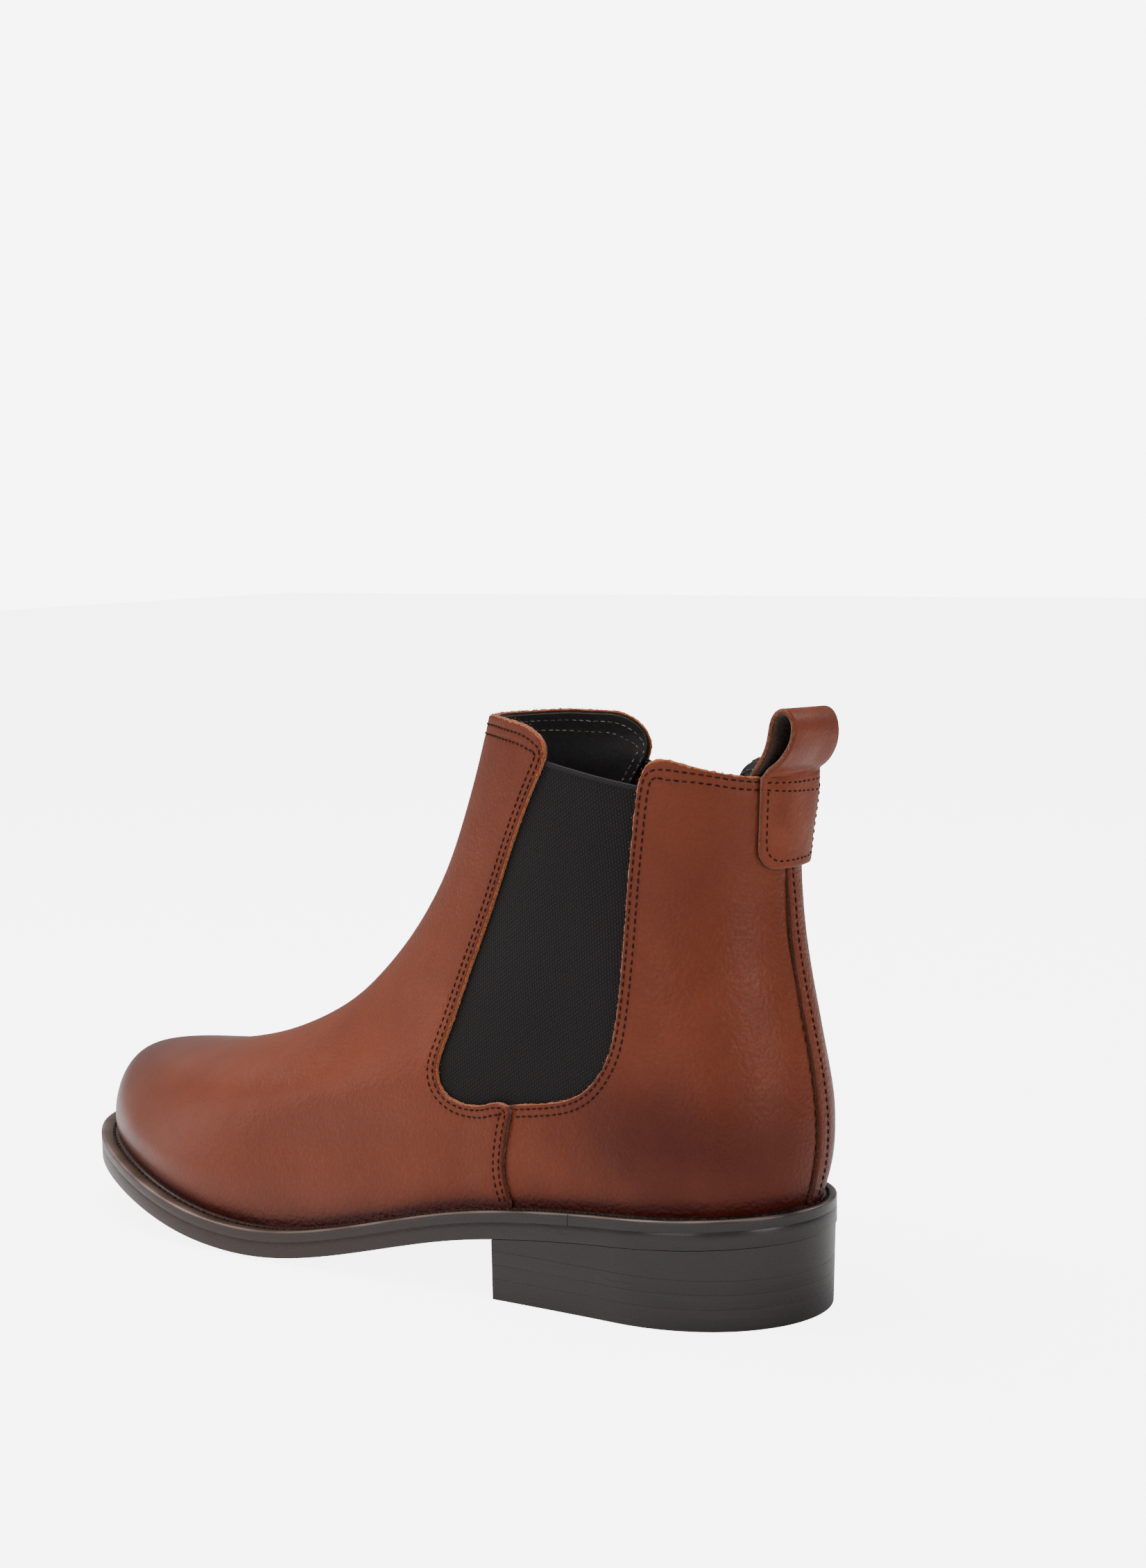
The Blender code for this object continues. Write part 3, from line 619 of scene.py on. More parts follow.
class Nodes:
    """Adds nodes to a material or a world. An input is a value, or another node's output to link."""

    def __init__(self, owner):
        owner.use_nodes = True
        self.owner = owner
        self.tree = owner.node_tree
        self.places = {}

    def feed(self, made, inputs):
        for key, value in inputs.items():
            socket = made.inputs[key]
            if isinstance(value, bpy.types.NodeSocket):
                self.tree.links.new(value, socket)
            else:
                socket.default_value = (*value, 1.0) if socket.type == "RGBA" else value

    def node(self, kind, output, inputs=None, **settings):
        """One output of a new node."""
        made = self.tree.nodes.new("ShaderNode" + kind)
        for key, value in settings.items():
            setattr(made, key, value)
        self.feed(made, inputs or {})
        return made.outputs[output]

    def place(self, stretch=(1, 1, 1)):
        if stretch not in self.places:
            inputs = {"Vector": self.node("TexCoord", "Object"), "Scale": stretch}
            self.places[stretch] = self.node("Mapping", "Vector", inputs)
        return self.places[stretch]

    def axis(self, name):
        return self.node("SeparateXYZ", name, {"Vector": self.place()})

    def value(self, name):
        """A named value of the mesh's points."""
        return self.node("Attribute", "Fac", attribute_name=name)

    def cloud(self, scale, detail=3.0, rough=0.55, stretch=(1, 1, 1)):
        inputs = {"Vector": self.place(stretch), "Scale": scale, "Detail": detail, "Roughness": rough}
        return self.node("TexNoise", "Fac", inputs)

    def ranged(self, value, low, high, to_low=0.0, to_high=1.0):
        inputs = {"Value": value, "From Min": low, "From Max": high, "To Min": to_low, "To Max": to_high}
        return self.node("MapRange", "Result", inputs)

    def math(self, how, *values):
        return self.node("Math", "Value", dict(enumerate(values)), operation=how)

    def layered(self, base, *layers):
        """A colour with others laid over it, each by its share."""
        for share, colour in layers:
            base = self.node("MixRGB", "Color", {"Fac": share, "Color1": base, "Color2": colour})
        return base

    def bumped(self, height, distance, strength, normal=None):
        inputs = {"Height": height, "Distance": distance, "Strength": strength}
        if normal is not None:
            inputs["Normal"] = normal
        return self.node("Bump", "Normal", inputs)

    def shade(self, colour, rough, normal, specular=0.5, sheen=0.0, sheen_rough=0.5, others=None):
        """Feeds a finish's own shader and returns the finish."""
        self.feed(self.tree.nodes["Principled BSDF"], {
            "Base Color": colour, "Roughness": rough, "Normal": normal, "Specular IOR Level": specular,
            "Sheen Weight": sheen, "Sheen Roughness": sheen_rough, **(others or {}),
        })
        return self.owner


def new_finish(name):
    return Nodes(bpy.data.materials.new(name))


def leather_finish(name, light, deep, dark):
    """Burnished calf: mottled colour, darker where it is burnished and where shade is painted, pebbled grain,
    pores and creases.
    """
    n = new_finish(name)
    burnish_and_shade_share = n.math("ADD", n.ranged(n.cloud(60.0), 0.2, 0.8, -0.12, 0.12), n.value("burnish_and_shade"))
    base = n.layered(
        light,
        (n.ranged(n.cloud(22.0, 4.0), 0.3, 0.7), deep),
        (n.ranged(n.cloud(1100.0, 2.0), 0.4, 0.75, 0.0, 0.5), deep),
        # dark tone where burnished and where shade is painted
        (n.ranged(burnish_and_shade_share, 0.04, 1.0), dark),
        (n.value("rub_and_highlight"), dark),
    )
    pebbles = {"Vector": n.place(), "Scale": 900.0, "Smoothness": 0.6}
    pebbles = n.node("TexVoronoi", "Distance", pebbles, feature="SMOOTH_F1")
    height = n.math("ADD", pebbles, n.math("MULTIPLY", n.cloud(420.0), 1.6))
    height = n.math("MULTIPLY", height, n.ranged(n.value("grain"), 0.0, 1.0, 0.15, 1.0))
    normal = n.bumped(height, 0.00022, 0.8, n.bumped(n.cloud(2600.0), 0.00005, 0.5))
    rough = n.ranged(n.cloud(140.0), 0.3, 0.7, 0.33, 0.45)
    specular = n.ranged(n.value("shine"), 0.0, 0.5, 0.2, 0.36)
    coat = {"Coat Weight": n.ranged(n.value("shine"), 0.5, 1.0, 0.02, 0.9), "Coat Roughness": 0.33}
    return n.shade(base, rough, normal, specular, others=coat)


def raw_finish(name, light, dark, sheen=0.35):
    """A cut edge or a flesh side: short fibres in two tones."""
    n = new_finish(name)
    fibre = n.cloud(2400.0, 4.0, 0.7)
    base = n.layered(dark, (n.ranged(fibre, 0.36, 0.66), light), (n.value("ink"), EDGE_INK))
    normal = n.bumped(n.cloud(700.0), 0.0003, 0.7, n.bumped(fibre, 0.00035, 0.9))
    return n.shade(base, 0.95, normal, 0.1, sheen)


def thread_finish(name, light, dark):
    n = new_finish(name)
    wave = {"Vector": n.place(), "Scale": 420.0, "Distortion": 1.5, "Detail": 1.0}
    twist = n.node("TexWave", "Fac", wave, bands_direction="DIAGONAL")
    return n.shade(n.layered(dark, (twist, light)), 0.8, n.bumped(twist, 0.00012, 0.8), 0.15)


def elastic_finish(name):
    """Ribbed elastic: upright ribs of small knitted cells, almost black, with reddish threads, the hollows
    between the cells painted near black as painted shade and painted glints on the cells' tops.
    """
    n = new_finish(name)

    def ripple(value):
        return n.math("ABSOLUTE", n.math("SINE", n.math("MULTIPLY", value, math.pi)))

    across = n.math("ADD", n.axis("Y"), n.math("MULTIPLY", n.axis("Z"), RIB_LEAN))
    rib = n.math("MULTIPLY", across, 1.0 / RIB_WIDTH)
    half_step = n.math("MULTIPLY", n.math("FLOOR", rib), 0.5)
    cell = n.math("ADD", n.math("MULTIPLY", n.axis("Z"), 1.0 / CELL_HEIGHT), half_step)
    swelling = n.math("MULTIPLY", n.math("POWER", ripple(cell), 0.6), 0.55)
    knit = n.math("MULTIPLY", ripple(rib), swelling)
    height = n.math("ADD", knit, n.math("MULTIPLY", n.cloud(2400.0, 3.0, 0.7), 0.4))
    glint = n.ranged(n.cloud(3400.0, 1.0), 0.68, 0.76, 0.0, 0.5)
    tone = n.layered(
        (0.0022, 0.0018, 0.0018),
        # cells' tops lighter, hollows near black: painted shade in the hollows
        (n.ranged(height, 0.15, 0.85), (0.029, 0.0245, 0.0255)),
        (n.ranged(n.cloud(1500.0, 2.0, stretch=(1, 1, 0.35)), 0.56, 0.7, 0.0, 0.4), (0.026, 0.011, 0.009)),
        # painted glints on the cells' tops
        (n.math("MULTIPLY", glint, knit), (0.09, 0.085, 0.085)),
        (n.ranged(n.value("hem"), 0.2, 1.0, 0.0, 0.6), (0.034, 0.031, 0.031)),
    )
    return n.shade(tone, 0.85, n.bumped(height, 0.0003, 0.9), 0.22, 0.04, 0.4)


def lining_finish(name, light, dark):
    """Soft black-brown lining leather with a brushed nap."""
    n = new_finish(name)
    nap = n.cloud(1500.0, 4.0, 0.7)
    tone = n.ranged(n.math("ADD", nap, n.cloud(45.0, 4.0)), 0.75, 1.3)
    normal = n.bumped(n.cloud(160.0, 4.0), 0.0006, 0.5, n.bumped(nap, 0.00012, 0.6))
    return n.shade(n.layered(dark, (tone, light)), 0.62, normal, 0.35, 0.25, 0.45)


def edge_finish(name):
    """Inked and waxed sole edge: near black, browner in front, with fine level streaks and scuffs."""
    n = new_finish(name)
    streak = n.cloud(200.0, 3.0, 0.6, (0.3, 0.3, 8.0))
    scuff = n.cloud(90.0, 2.0, 0.5, (0.5, 0.5, 12.0))
    base = n.layered(
        (0.014, 0.0095, 0.009),
        (n.ranged(n.axis("Y"), -0.02, -0.15), (0.042, 0.020, 0.014)),
        (n.ranged(streak, 0.5, 0.8, 0.0, 0.4), (0.036, 0.024, 0.021)),
        (n.ranged(n.cloud(42.0, 4.0), 0.5, 0.75, 0.0, 0.35), (0.028, 0.014, 0.010)),
        (n.ranged(scuff, 0.7, 0.75, 0.0, 0.9), (0.004, 0.003, 0.003)),
        # pale line along the welt's rim: wear, and a painted highlight
        (n.ranged(n.value("rub_and_highlight"), 0.0, 1.0, 0.0, 0.8), (0.27, 0.19, 0.16)),
    )
    coat = {"Coat Weight": 0.15, "Coat Roughness": 0.2}
    rough = n.ranged(streak, 0.3, 0.75, 0.24, 0.36)
    return n.shade(base, rough, n.bumped(streak, 0.00004, 0.3), others=coat)


def grained_finish(name, light, dark, scale, rough, distance=0.0003, metallic=0.0, stretch=(1, 1, 1)):
    """A plain solid with a grain: board, cork, rubber, sole leather or metal."""
    n = new_finish(name)
    grain = n.cloud(scale, 4.0, 0.65, stretch)
    broad = n.cloud(scale * 0.07, stretch=stretch)
    base = n.layered(dark, (n.ranged(n.math("ADD", grain, broad), 0.7, 1.3), light))
    rough = n.ranged(broad, 0.3, 0.7, rough - 0.06, rough + 0.06)
    return n.shade(base, rough, n.bumped(grain, distance, 0.6), others={"Metallic": metallic})


look = {
    "leather": leather_finish("tan_leather", *TAN),
    "flesh": raw_finish("flesh_side", (0.10, 0.048, 0.028), (0.045, 0.022, 0.014), 0.2),
    "raw": raw_finish("cut_edge", (0.60, 0.17, 0.045), (0.17, 0.036, 0.012)),
    "raw_dark": raw_finish("cut_edge_dark", (0.32, 0.085, 0.028), (0.06, 0.014, 0.008)),
    "thread": thread_finish("brown_thread", (0.048, 0.012, 0.008), (0.014, 0.004, 0.003)),
    "pale_thread": thread_finish("grey_thread", (0.26, 0.25, 0.24), (0.09, 0.085, 0.08)),
    "welt_thread": thread_finish("waxed_thread", (0.060, 0.030, 0.022), (0.014, 0.008, 0.007)),
    "elastic": elastic_finish("ribbed_elastic"),
    "lining": lining_finish("dark_lining", (0.021, 0.0175, 0.0175), (0.008, 0.0065, 0.0065)),
    "edge": edge_finish("inked_edge"),
    "sock": lining_finish("sock_leather", (0.050, 0.026, 0.017), (0.024, 0.013, 0.010)),
}
grained = {
    "sole": ("sole_leather", (0.060, 0.026, 0.016), (0.030, 0.014, 0.010), 700.0, 0.5),
    "rubber": ("heel_rubber", (0.022, 0.020, 0.020), (0.012, 0.011, 0.011), 900.0, 0.6),
    "board": ("fibre_board", (0.45, 0.30, 0.17), (0.30, 0.19, 0.10), 1200.0, 0.85),
    "cork": ("cork_mix", (0.40, 0.22, 0.10), (0.16, 0.08, 0.035), 420.0, 0.9, 0.0006),
    "stiffener": ("stiffener_felt", (0.50, 0.42, 0.30), (0.36, 0.29, 0.20), 1500.0, 0.85),
    "steel": ("shank_steel", (0.58, 0.59, 0.60), (0.42, 0.43, 0.45), 500.0, 0.34, 0.00004, 1.0, (1, 0.08, 1)),
    "brass": ("brass_pin", (0.72, 0.48, 0.17), (0.52, 0.33, 0.11), 900.0, 0.33, 0.00004, 1.0),
}
for key, settings in grained.items():
    look[key] = grained_finish(*settings)


# ---------------- the upper

seam_s = spline(*np.array(SIDE_SEAM).T[::-1])


def ahead_of_seam(place):
    """How far a point lies in front of the side seam, and whether it is low enough to meet it."""
    return ORIGIN_S - place[:, 1] - seam_s(place[:, 2]), 1 - smoothstep(place[:, 2], *SEAM_FADE_Z)


def rounded(away, size=0.55, drop=0.4):
    return drop * np.clip(1 - away / size, 0, 1) ** 2


class Grooves:
    """Dents that a row of stitches pulls into the leather round it."""

    def __init__(self, lines, pitch=STITCH_PITCH):
        ends, centres = [], []
        for line in lines:
            ends.append(skin(even(line, pitch)))
            centres.append(skin(even(line, 0.45)))
        self.ends = np.concatenate(ends)
        self.line = np.concatenate(centres)

    def depth(self, place):
        trough = 0.13 * np.exp(-((nearest(place, self.line) / 0.5) ** 2))
        return trough + 0.16 * np.exp(-((nearest(place, self.ends) / 0.42) ** 2))


def dressed(depth, points, place, away, grooves, size, seed):
    """The depth of a face with its rounded edge, its stitch dents and slow waves of a size."""
    if away is None:
        return depth
    waves = 0.06 * noise(place, size, seed) * smoothstep(away, 2.0, 9.0)
    return depth + rounded(away) * (points[:, 1] > 0) + grooves.depth(place) + waves


def vamp_side():
    seam = even(locate(smooth_line(SIDE_SEAM, 60)), EDGE_STEP)
    seam = np.concatenate([[(seam[0, 0], FOOT_V)], seam])
    edge = locate(smooth_line(VAMP_EDGE, 500))
    edge = even(np.concatenate([edge, [(1.0, edge[-1, 1])]]), EDGE_STEP)
    return np.concatenate([seam, edge[1:]])


def whole_vamp(bottom, side):
    """The border of a front panel, from the bottom line and the side line of its outer half."""
    half = np.concatenate([bottom, side])
    return np.concatenate([half, mirrored(half)[::-1][1:-1]])[::-1]


def quarter_edges(back_c):
    z = np.linspace(27.0, 50.5, 30)
    hidden = locate(np.stack([seam_s(z) + SIDE_UNDERLAP, z], -1))
    edge = even(locate(smooth_line(QUARTER_EDGE, 500)), EDGE_STEP)
    bottom = even(np.linspace((back_c, FOOT_V), (hidden[0, 0], FOOT_V), 120), FOOT_STEP)
    back = even(np.linspace((back_c, edge[-1, 1]), (back_c, FOOT_V), 200), EDGE_STEP)
    return bottom, even(hidden, FOOT_STEP), edge, back


def seam_row(edge, low, high, rise, side):
    """A stitch row beside an edge, its distance changing from low to high over a rise in height."""
    return inset(edge, side * (low + (high - low) * smoothstep(skin(edge)[:, 2], *rise)))


vamp_edge = vamp_side()
vamp_rows = []
for low, high in zip(SEAM_ROWS, TOP_ROWS):
    row = seam_row(vamp_edge, low, high, VAMP_ROW_RISE, -1)
    row = row[(row[:, 1] > 0.12) & (row[:, 0] <= 1.0)]
    vamp_rows += [row, mirrored(row)[::-1]]
vamp_grooves = Grooves(vamp_rows)


def vamp_depth(points, place, away):
    gap, low = ahead_of_seam(place)
    depth = -LAP_RAISE * low * (1 - smoothstep(gap, 5.0, 16.0))
    return dressed(depth, points, place, away, vamp_grooves, 38.0, 11)


def burnish_and_shade(points, place, away):
    """How dark the leather is burnished and painted with shade, how far its edge is rubbed and inked, its
    shine and its grain.
    """
    s, z = ORIGIN_S - place[:, 1], place[:, 2]
    height = np.clip(z - welt_top(s), 0, None)
    # dark just over the welt: burnished there, with painted shade in the joint with the welt
    over_welt = 2.6 * np.exp(-height / 1.8) + 0.3 * np.exp(-height / 7.0)
    # darker higher up towards the top line: painted shade
    shaft_shade = 0.25 * smoothstep(z, 60, 120)
    toe = smoothstep(s, 200.0, 262.0) * (0.16 + 0.55 * smoothstep(height, 10.0, 28.0))
    # darker on the heel's sides: burnished there, with painted shade
    heel = 0.66 * np.exp(-(((s - 32.0) / 40.0) ** 2) - ((z - 48.0 - 0.1 * s) / 17.0) ** 2)
    # darker low at the back of the heel: burnished there, with painted shade
    back = 0.22 * (1 - smoothstep(s, 15.0, 70.0)) * (1 - smoothstep(z, 70, 150))
    gap, low = ahead_of_seam(place)
    seam = (np.abs(gap) < 1.2) * (low > 0.5) + (np.abs(points[:, 0]) < 0.012)
    smooth = 0.85 * smoothstep(s, 140.0, 215.0) + 0.4 * smoothstep(z, 95.0, 140.0)
    return {
        "burnish_and_shade": np.clip(over_welt + shaft_shade + toe + heel + back, 0, 1),
        "rub_and_highlight": 0.5 * np.clip(1 - away / 0.45, 0, 1),
        "ink": 0.85 * np.clip(seam, 0, 1),
        "shine": 0.5 * smoothstep(s, 75.0, 160.0) + 0.5 * smoothstep(s, 180.0, 255.0),
        "grain": np.clip(1 - smooth, 0, 1),
    }


leathers = [look["leather"], look["flesh"], look["raw"]]
fibres = []
vamp_bottom = even(np.linspace((1.0, FOOT_V), (vamp_edge[0, 0], FOOT_V), 200), 1.5)
vamp = add_panel(
    "vamp_leather", whole_vamp(vamp_bottom, vamp_edge[1:]), vamp_depth, LEATHER_THICK, leathers, RIM, burnish_and_shade,
    fibres=fibres,
)

quarter_rows = []
quarter_edge = quarter_edges(0.0)[2]
visible = quarter_edge[ORIGIN_S - skin(quarter_edge)[:, 1] < 78.5]
for low, high in zip(SEAM_ROWS, TOP_ROWS):
    row = seam_row(visible, low, high, QUARTER_ROW_RISE, 1)
    quarter_rows.append(row[row[:, 0] > 0.02])
back_row = np.linspace(*BACK_ROW, 200)


def quarter_depth(inner):
    grooves = Grooves([mirrored(row) for row in quarter_rows] + [back_row] if inner else quarter_rows)

    def depth_of(points, place, away):
        gap, low = ahead_of_seam(place)
        depth = (LAP_DROP - LAP_RAISE) * low * smoothstep(gap, -2.5, 0.2)
        raise_by = BACK_LAP_RAISE * (1 - smoothstep(points[:, 1], *BACK_LAP_LEVELS))
        if inner:
            depth = depth - raise_by * (1 - smoothstep(np.abs(place[:, 0]), 5.0, 15.0))
        else:
            depth = depth + (LAP_DROP - raise_by) * (1 - smoothstep(place[:, 0], 0.1, 1.3))
        return dressed(depth, points, place, away, grooves, 34.0, 12)

    return depth_of


def quarter_border(back_c, inner):
    bottom, hidden, edge, back = quarter_edges(back_c)
    border = np.concatenate([bottom[:-1], hidden[:-1], edge[:-1], back[:-1]])
    return mirrored(border, 0.0)[::-1] if inner else border


quarter_outer = add_panel(
    "quarter_leather_outer", quarter_border(-0.055, False), quarter_depth(False), LEATHER_THICK, leathers,
    RIM, burnish_and_shade, fibres=fibres,
)
quarter_inner = add_panel(
    "quarter_leather_inner", quarter_border(0.0, True), quarter_depth(True), LEATHER_THICK, leathers, RIM,
    burnish_and_shade, fibres=fibres,
)
on_edges = [f for f in fibres if f[2] > 3.2 and abs(f[0][0]) > 1.0]
edge_fibres = add_fibres("edge_fibres", on_edges, look["raw"])
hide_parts("vamp")
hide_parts("quarter_outer")
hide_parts("quarter_inner")

threads = []
for row in vamp_rows:
    threads += stitch_places(row, vamp_depth)
for row in quarter_rows:
    threads += stitch_places(row, quarter_depth(False))
    threads += stitch_places(mirrored(row, 0.0), quarter_depth(True))
threads += stitch_places(back_row, quarter_depth(True))


# ---------------- gores and lining

def add_gore(name, sign):
    back = locate(moved_out(smooth_line(GORE_BACK, 140), GORE_MARGIN))[:, None]
    front = locate(moved_out(smooth_line(GORE_FRONT, 140), -GORE_MARGIN))[:, None]
    share = np.linspace(0, 1, 61)
    line = back * (1 - share[:, None]) + front * share[:, None]
    if sign < 0:
        line = mirrored(line, 0.0)
    rise = np.linspace(0, 1, 140)[:, None] * np.ones(61)
    hem = smoothstep(rise, *GORE_HEM)
    swell = GORE_SWELL * np.sin(np.pi * share) * np.sin(np.pi * np.clip(rise * 1.02, 0, 1))
    face = skin(line, GORE_DEPTH - swell - 0.32 * hem).reshape(-1, 3)
    inner_face = skin(line, GORE_DEPTH + GORE_THICK - swell + 0.15 * hem).reshape(-1, 3)
    rim = grid_rim(*rise.shape)
    faces = both_sides(grid_faces(*rise.shape), rise.size) + rim_faces([rim, rise.size + rim])
    values = {"hem": np.tile(hem.reshape(-1), 2)}
    return add_mesh(name, np.concatenate([face, inner_face]), faces, [look["elastic"]], None, values)


gores = [add_gore("gore_elastic_outer", 1), add_gore("gore_elastic_inner", -1)]
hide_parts("gore_outer")
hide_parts("gore_inner")


def lining_depth(low_z, high_z):
    def depth_of(points, place, away):
        raised = (LINING_DEPTH - LEATHER_THICK - 0.06) * smoothstep(place[:, 2], low_z, high_z)
        base = LINING_DEPTH - raised
        if away is not None:
            waves = 0.25 * noise(place, 26.0, 21) + 0.2 * noise(place, 9.0, 22)
            base = base + 0.2 * np.clip(1 - away / 0.5, 0, 1) ** 2 + waves * smoothstep(away, 4.0, 14.0)
        return base

    return depth_of


vamp_lining_depth = lining_depth(143.0, 151.0)
quarter_lining_depth = lining_depth(140.0, 147.0)
def add_lining(name, border, depth_of):
    return add_panel(
        name, border, depth_of, LINING_THICK, [look["lining"]] * 3, LINING_RIM, None, LINING_ROWS,
        LINING_STEP, LINING_FUZZ,
    )


side = inset(vamp_edge, -0.6)
side[0, 1] = 0.0
side = side[np.concatenate([[True], skin(side[1:])[:, 2] > 26.5])]
side = side[side[:, 0] <= 1.0]
bottom = even(np.linspace((1.0, 0.0), (side[0, 0], 0.0), 200), 2.5)
side = np.concatenate([side[1:], [(1.0, side[-1, 1])]])
vamp_lining = add_lining("vamp_lining_leather", whole_vamp(bottom, side), vamp_lining_depth)
edge = inset(quarter_edge, 0.6)
edge = edge[(edge[:, 0] > 0.015) & (ORIGIN_S - skin(edge)[:, 1] < 78.0)]
foot = even(np.linspace((-edge[0, 0], 0.0), (edge[0, 0], 0.0), 200), 2.5)
rise = np.linspace((edge[0, 0], 0.0), edge[0], 30)
right = np.concatenate([rise[:-1], edge])
both = np.concatenate([foot[:-1], right, mirrored(right, 0.0)[::-1][:-1]])
quarter_lining = add_lining("quarter_lining_leather", both, quarter_lining_depth)
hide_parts("vamp_lining")
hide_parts("quarter_lining")

pale_threads = []
for rows, depth_of in ((vamp_rows, vamp_lining_depth), (quarter_rows, quarter_lining_depth)):
    for row in rows:
        high = row[skin(row)[:, 2] > LINING_ROW_Z]
        for line in [high] if rows is vamp_rows else [high, mirrored(high, 0.0)]:
            pale_threads += stitch_places(line, depth_of, sink=-0.05, thick=LINING_THICK)


# ---------------- pull tab

def back_trace(z):
    """Girths and side distances across the back of the boot at a height."""
    level = locate([(9.3, z)])[0, 1]
    trace = np.linspace(0, 0.36, 120)
    return level, trace, skin_design(trace, level)


def stand_off(x):
    """How far the strap's far edge stands off the boot."""
    return TAB_STAND_OFF * smoothstep(-x, *TAB_STAND_X)


def leg_point(x, z, depth):
    """Points of a sewn leg, from side distances and one height."""
    level, trace, across = back_trace(z)
    x = x + TAB_CENTRE
    c = np.sign(x) * np.interp(np.abs(x), across[:, 0], trace)
    rise = 0.3 + 0.7 * smoothstep(z, TAB_BOTTOM_Z + 2.0, 141.0)
    return skin(np.stack([c, np.full_like(c, level)], -1), depth - stand_off(x) * rise * (depth < 0))


def tab_half(height, radius):
    """Half width of a leg at a height over its round lower end."""
    short = np.clip(radius - height, 0, radius)
    return TAB_HALF_WIDTH - radius + math.sqrt(radius**2 - short**2)


def tab_stations():
    """Rows of the strap's middle surface, from the outer leg's lower end over the loop to the inner's."""
    across = TAB_HALF_WIDTH - np.array([0, 0.12, 0.35, 0.7, 1.2, 2.0, 3.2, 4.8, 6.8, 9.0, TAB_HALF_WIDTH])
    across = np.concatenate([across, -across[-2::-1]]) / TAB_HALF_WIDTH
    rows = []
    for h in np.concatenate([[0, 0.12, 0.35, 0.7, 1.2, 1.9, 2.8, 3.8], np.arange(4.8, 24.0, 1.0)]):
        rows.append(leg_point(across * tab_half(h, 5.5), TAB_BOTTOM_Z + h, TAB_OUTER_DEPTH))
    ends = rows[-1][len(across) // 2], leg_point(np.array([0.0]), 142.0, TAB_INNER_DEPTH)[0]
    first, last = ((ORIGIN_S - y, z) for _, y, z in ends)
    for i, (s, z) in enumerate(smooth_line([first, *TAB_PATH, last], 90)[1:]):
        share = i / 88
        arch = np.sin(np.pi * share) ** 0.45
        x = across * TAB_HALF_WIDTH + TAB_CENTRE
        _, _, around = back_trace(min(z, 150.0))
        bulge = np.interp(np.abs(x), *around.T[:2]) - np.interp(abs(TAB_CENTRE), *around.T[:2])
        if share > 0.5:
            bulge = 0.8 * bulge
        stand = stand_off(x) * (1 - smoothstep(share, 0.02, 0.4))
        y = ORIGIN_S - s - (1 - 0.85 * arch) * bulge + TAB_TWIST * arch * across + stand
        rows.append(np.stack([x, y, z + TAB_TILT * arch * across], -1))
    for h in np.concatenate([np.arange(11.0, 3.9, -1.0), [3.2, 2.4, 1.6, 1.0, 0.5, 0.2, 0]]):
        rows.append(leg_point(across * tab_half(h, 3.5), TAB_INNER_BOTTOM_Z + h, TAB_INNER_DEPTH))
    return np.array(rows), across


def add_strap():
    rows, across = tab_stations()
    rise, columns = rows.shape[:2]
    normal = unit(np.cross(np.gradient(rows, axis=1), np.gradient(rows, axis=0)))
    if normal[5, columns // 2, 1] < 0:
        normal = -normal
    reach = travelled(rows[:, columns // 2])
    to_end = np.minimum(reach, reach[-1] - reach)[:, None]
    away = np.minimum(to_end, (1 - np.abs(across)) * TAB_HALF_WIDTH)
    flat = rows.reshape(-1, 3)
    lift = (normal * (TAB_THICK / 2 - rounded(away, 0.6, 0.3))[..., None]).reshape(-1, 3)
    face, back = flat + lift, flat - lift
    rim = grid_rim(rise, columns)
    i, j = np.divmod(rim, columns)
    outward = unit(flat[rim] - rows[np.clip(i, 1, rise - 2), np.clip(j, 1, columns - 2)])
    points, strips = [face, back], [rim]
    for k, (share, bulge) in enumerate(TAB_RIM):
        rough = bulge + 0.07 * noise(flat[rim], 1.5, 31 + k)
        points.append(face[rim] * (1 - share) + back[rim] * share + outward * rough[:, None])
        strips.append(2 * len(flat) + k * len(rim) + np.arange(len(rim)))
    sides = both_sides(grid_faces(rise, columns), len(flat))
    cut = rim_faces(strips + [len(flat) + rim])
    slots = np.repeat([0, 1, 2], [len(sides) // 2, len(sides) // 2, len(cut)])
    rub_and_highlight = 0.3 * np.clip(1 - away.reshape(-1) / 0.6, 0, 1)
    values = {"burnish_and_shade": 0.12 + 0.1 * noise(flat, 9.0, 5), "rub_and_highlight": rub_and_highlight}
    for key, value in (("grain", 0.3), ("shine", 0.0), ("ink", 0.0)):
        values[key] = np.full(len(flat), value)
    for key, value in values.items():
        values[key] = np.concatenate([value, value, value[rim], value[rim]])
    finishes = [look["leather"], look["flesh"], look["raw_dark"]]
    return add_mesh("pull_strap", np.concatenate(points), sides + cut, finishes, slots, values)


def leg_row(points, pitch=2.0):
    """Stitches through the outer leg along (x, z) points."""
    points = np.array(points, float)
    reach = travelled(points)
    path = at_reach(np.linspace(0, reach[-1], int(round(reach[-1] / pitch)) + 1), reach, points)
    place = np.array([leg_point(np.array([x]), z, -2.0)[0] for x, z in path])
    deeper = np.array([leg_point(np.array([x]), z, -1.0)[0] for x, z in path])
    normal = unit(place - deeper)
    middle = (place[1:] + place[:-1]) / 2 - 0.03 * normal[1:]
    return list(zip(middle, unit(place[1:] - place[:-1]), unit(normal[1:] + normal[:-1])))


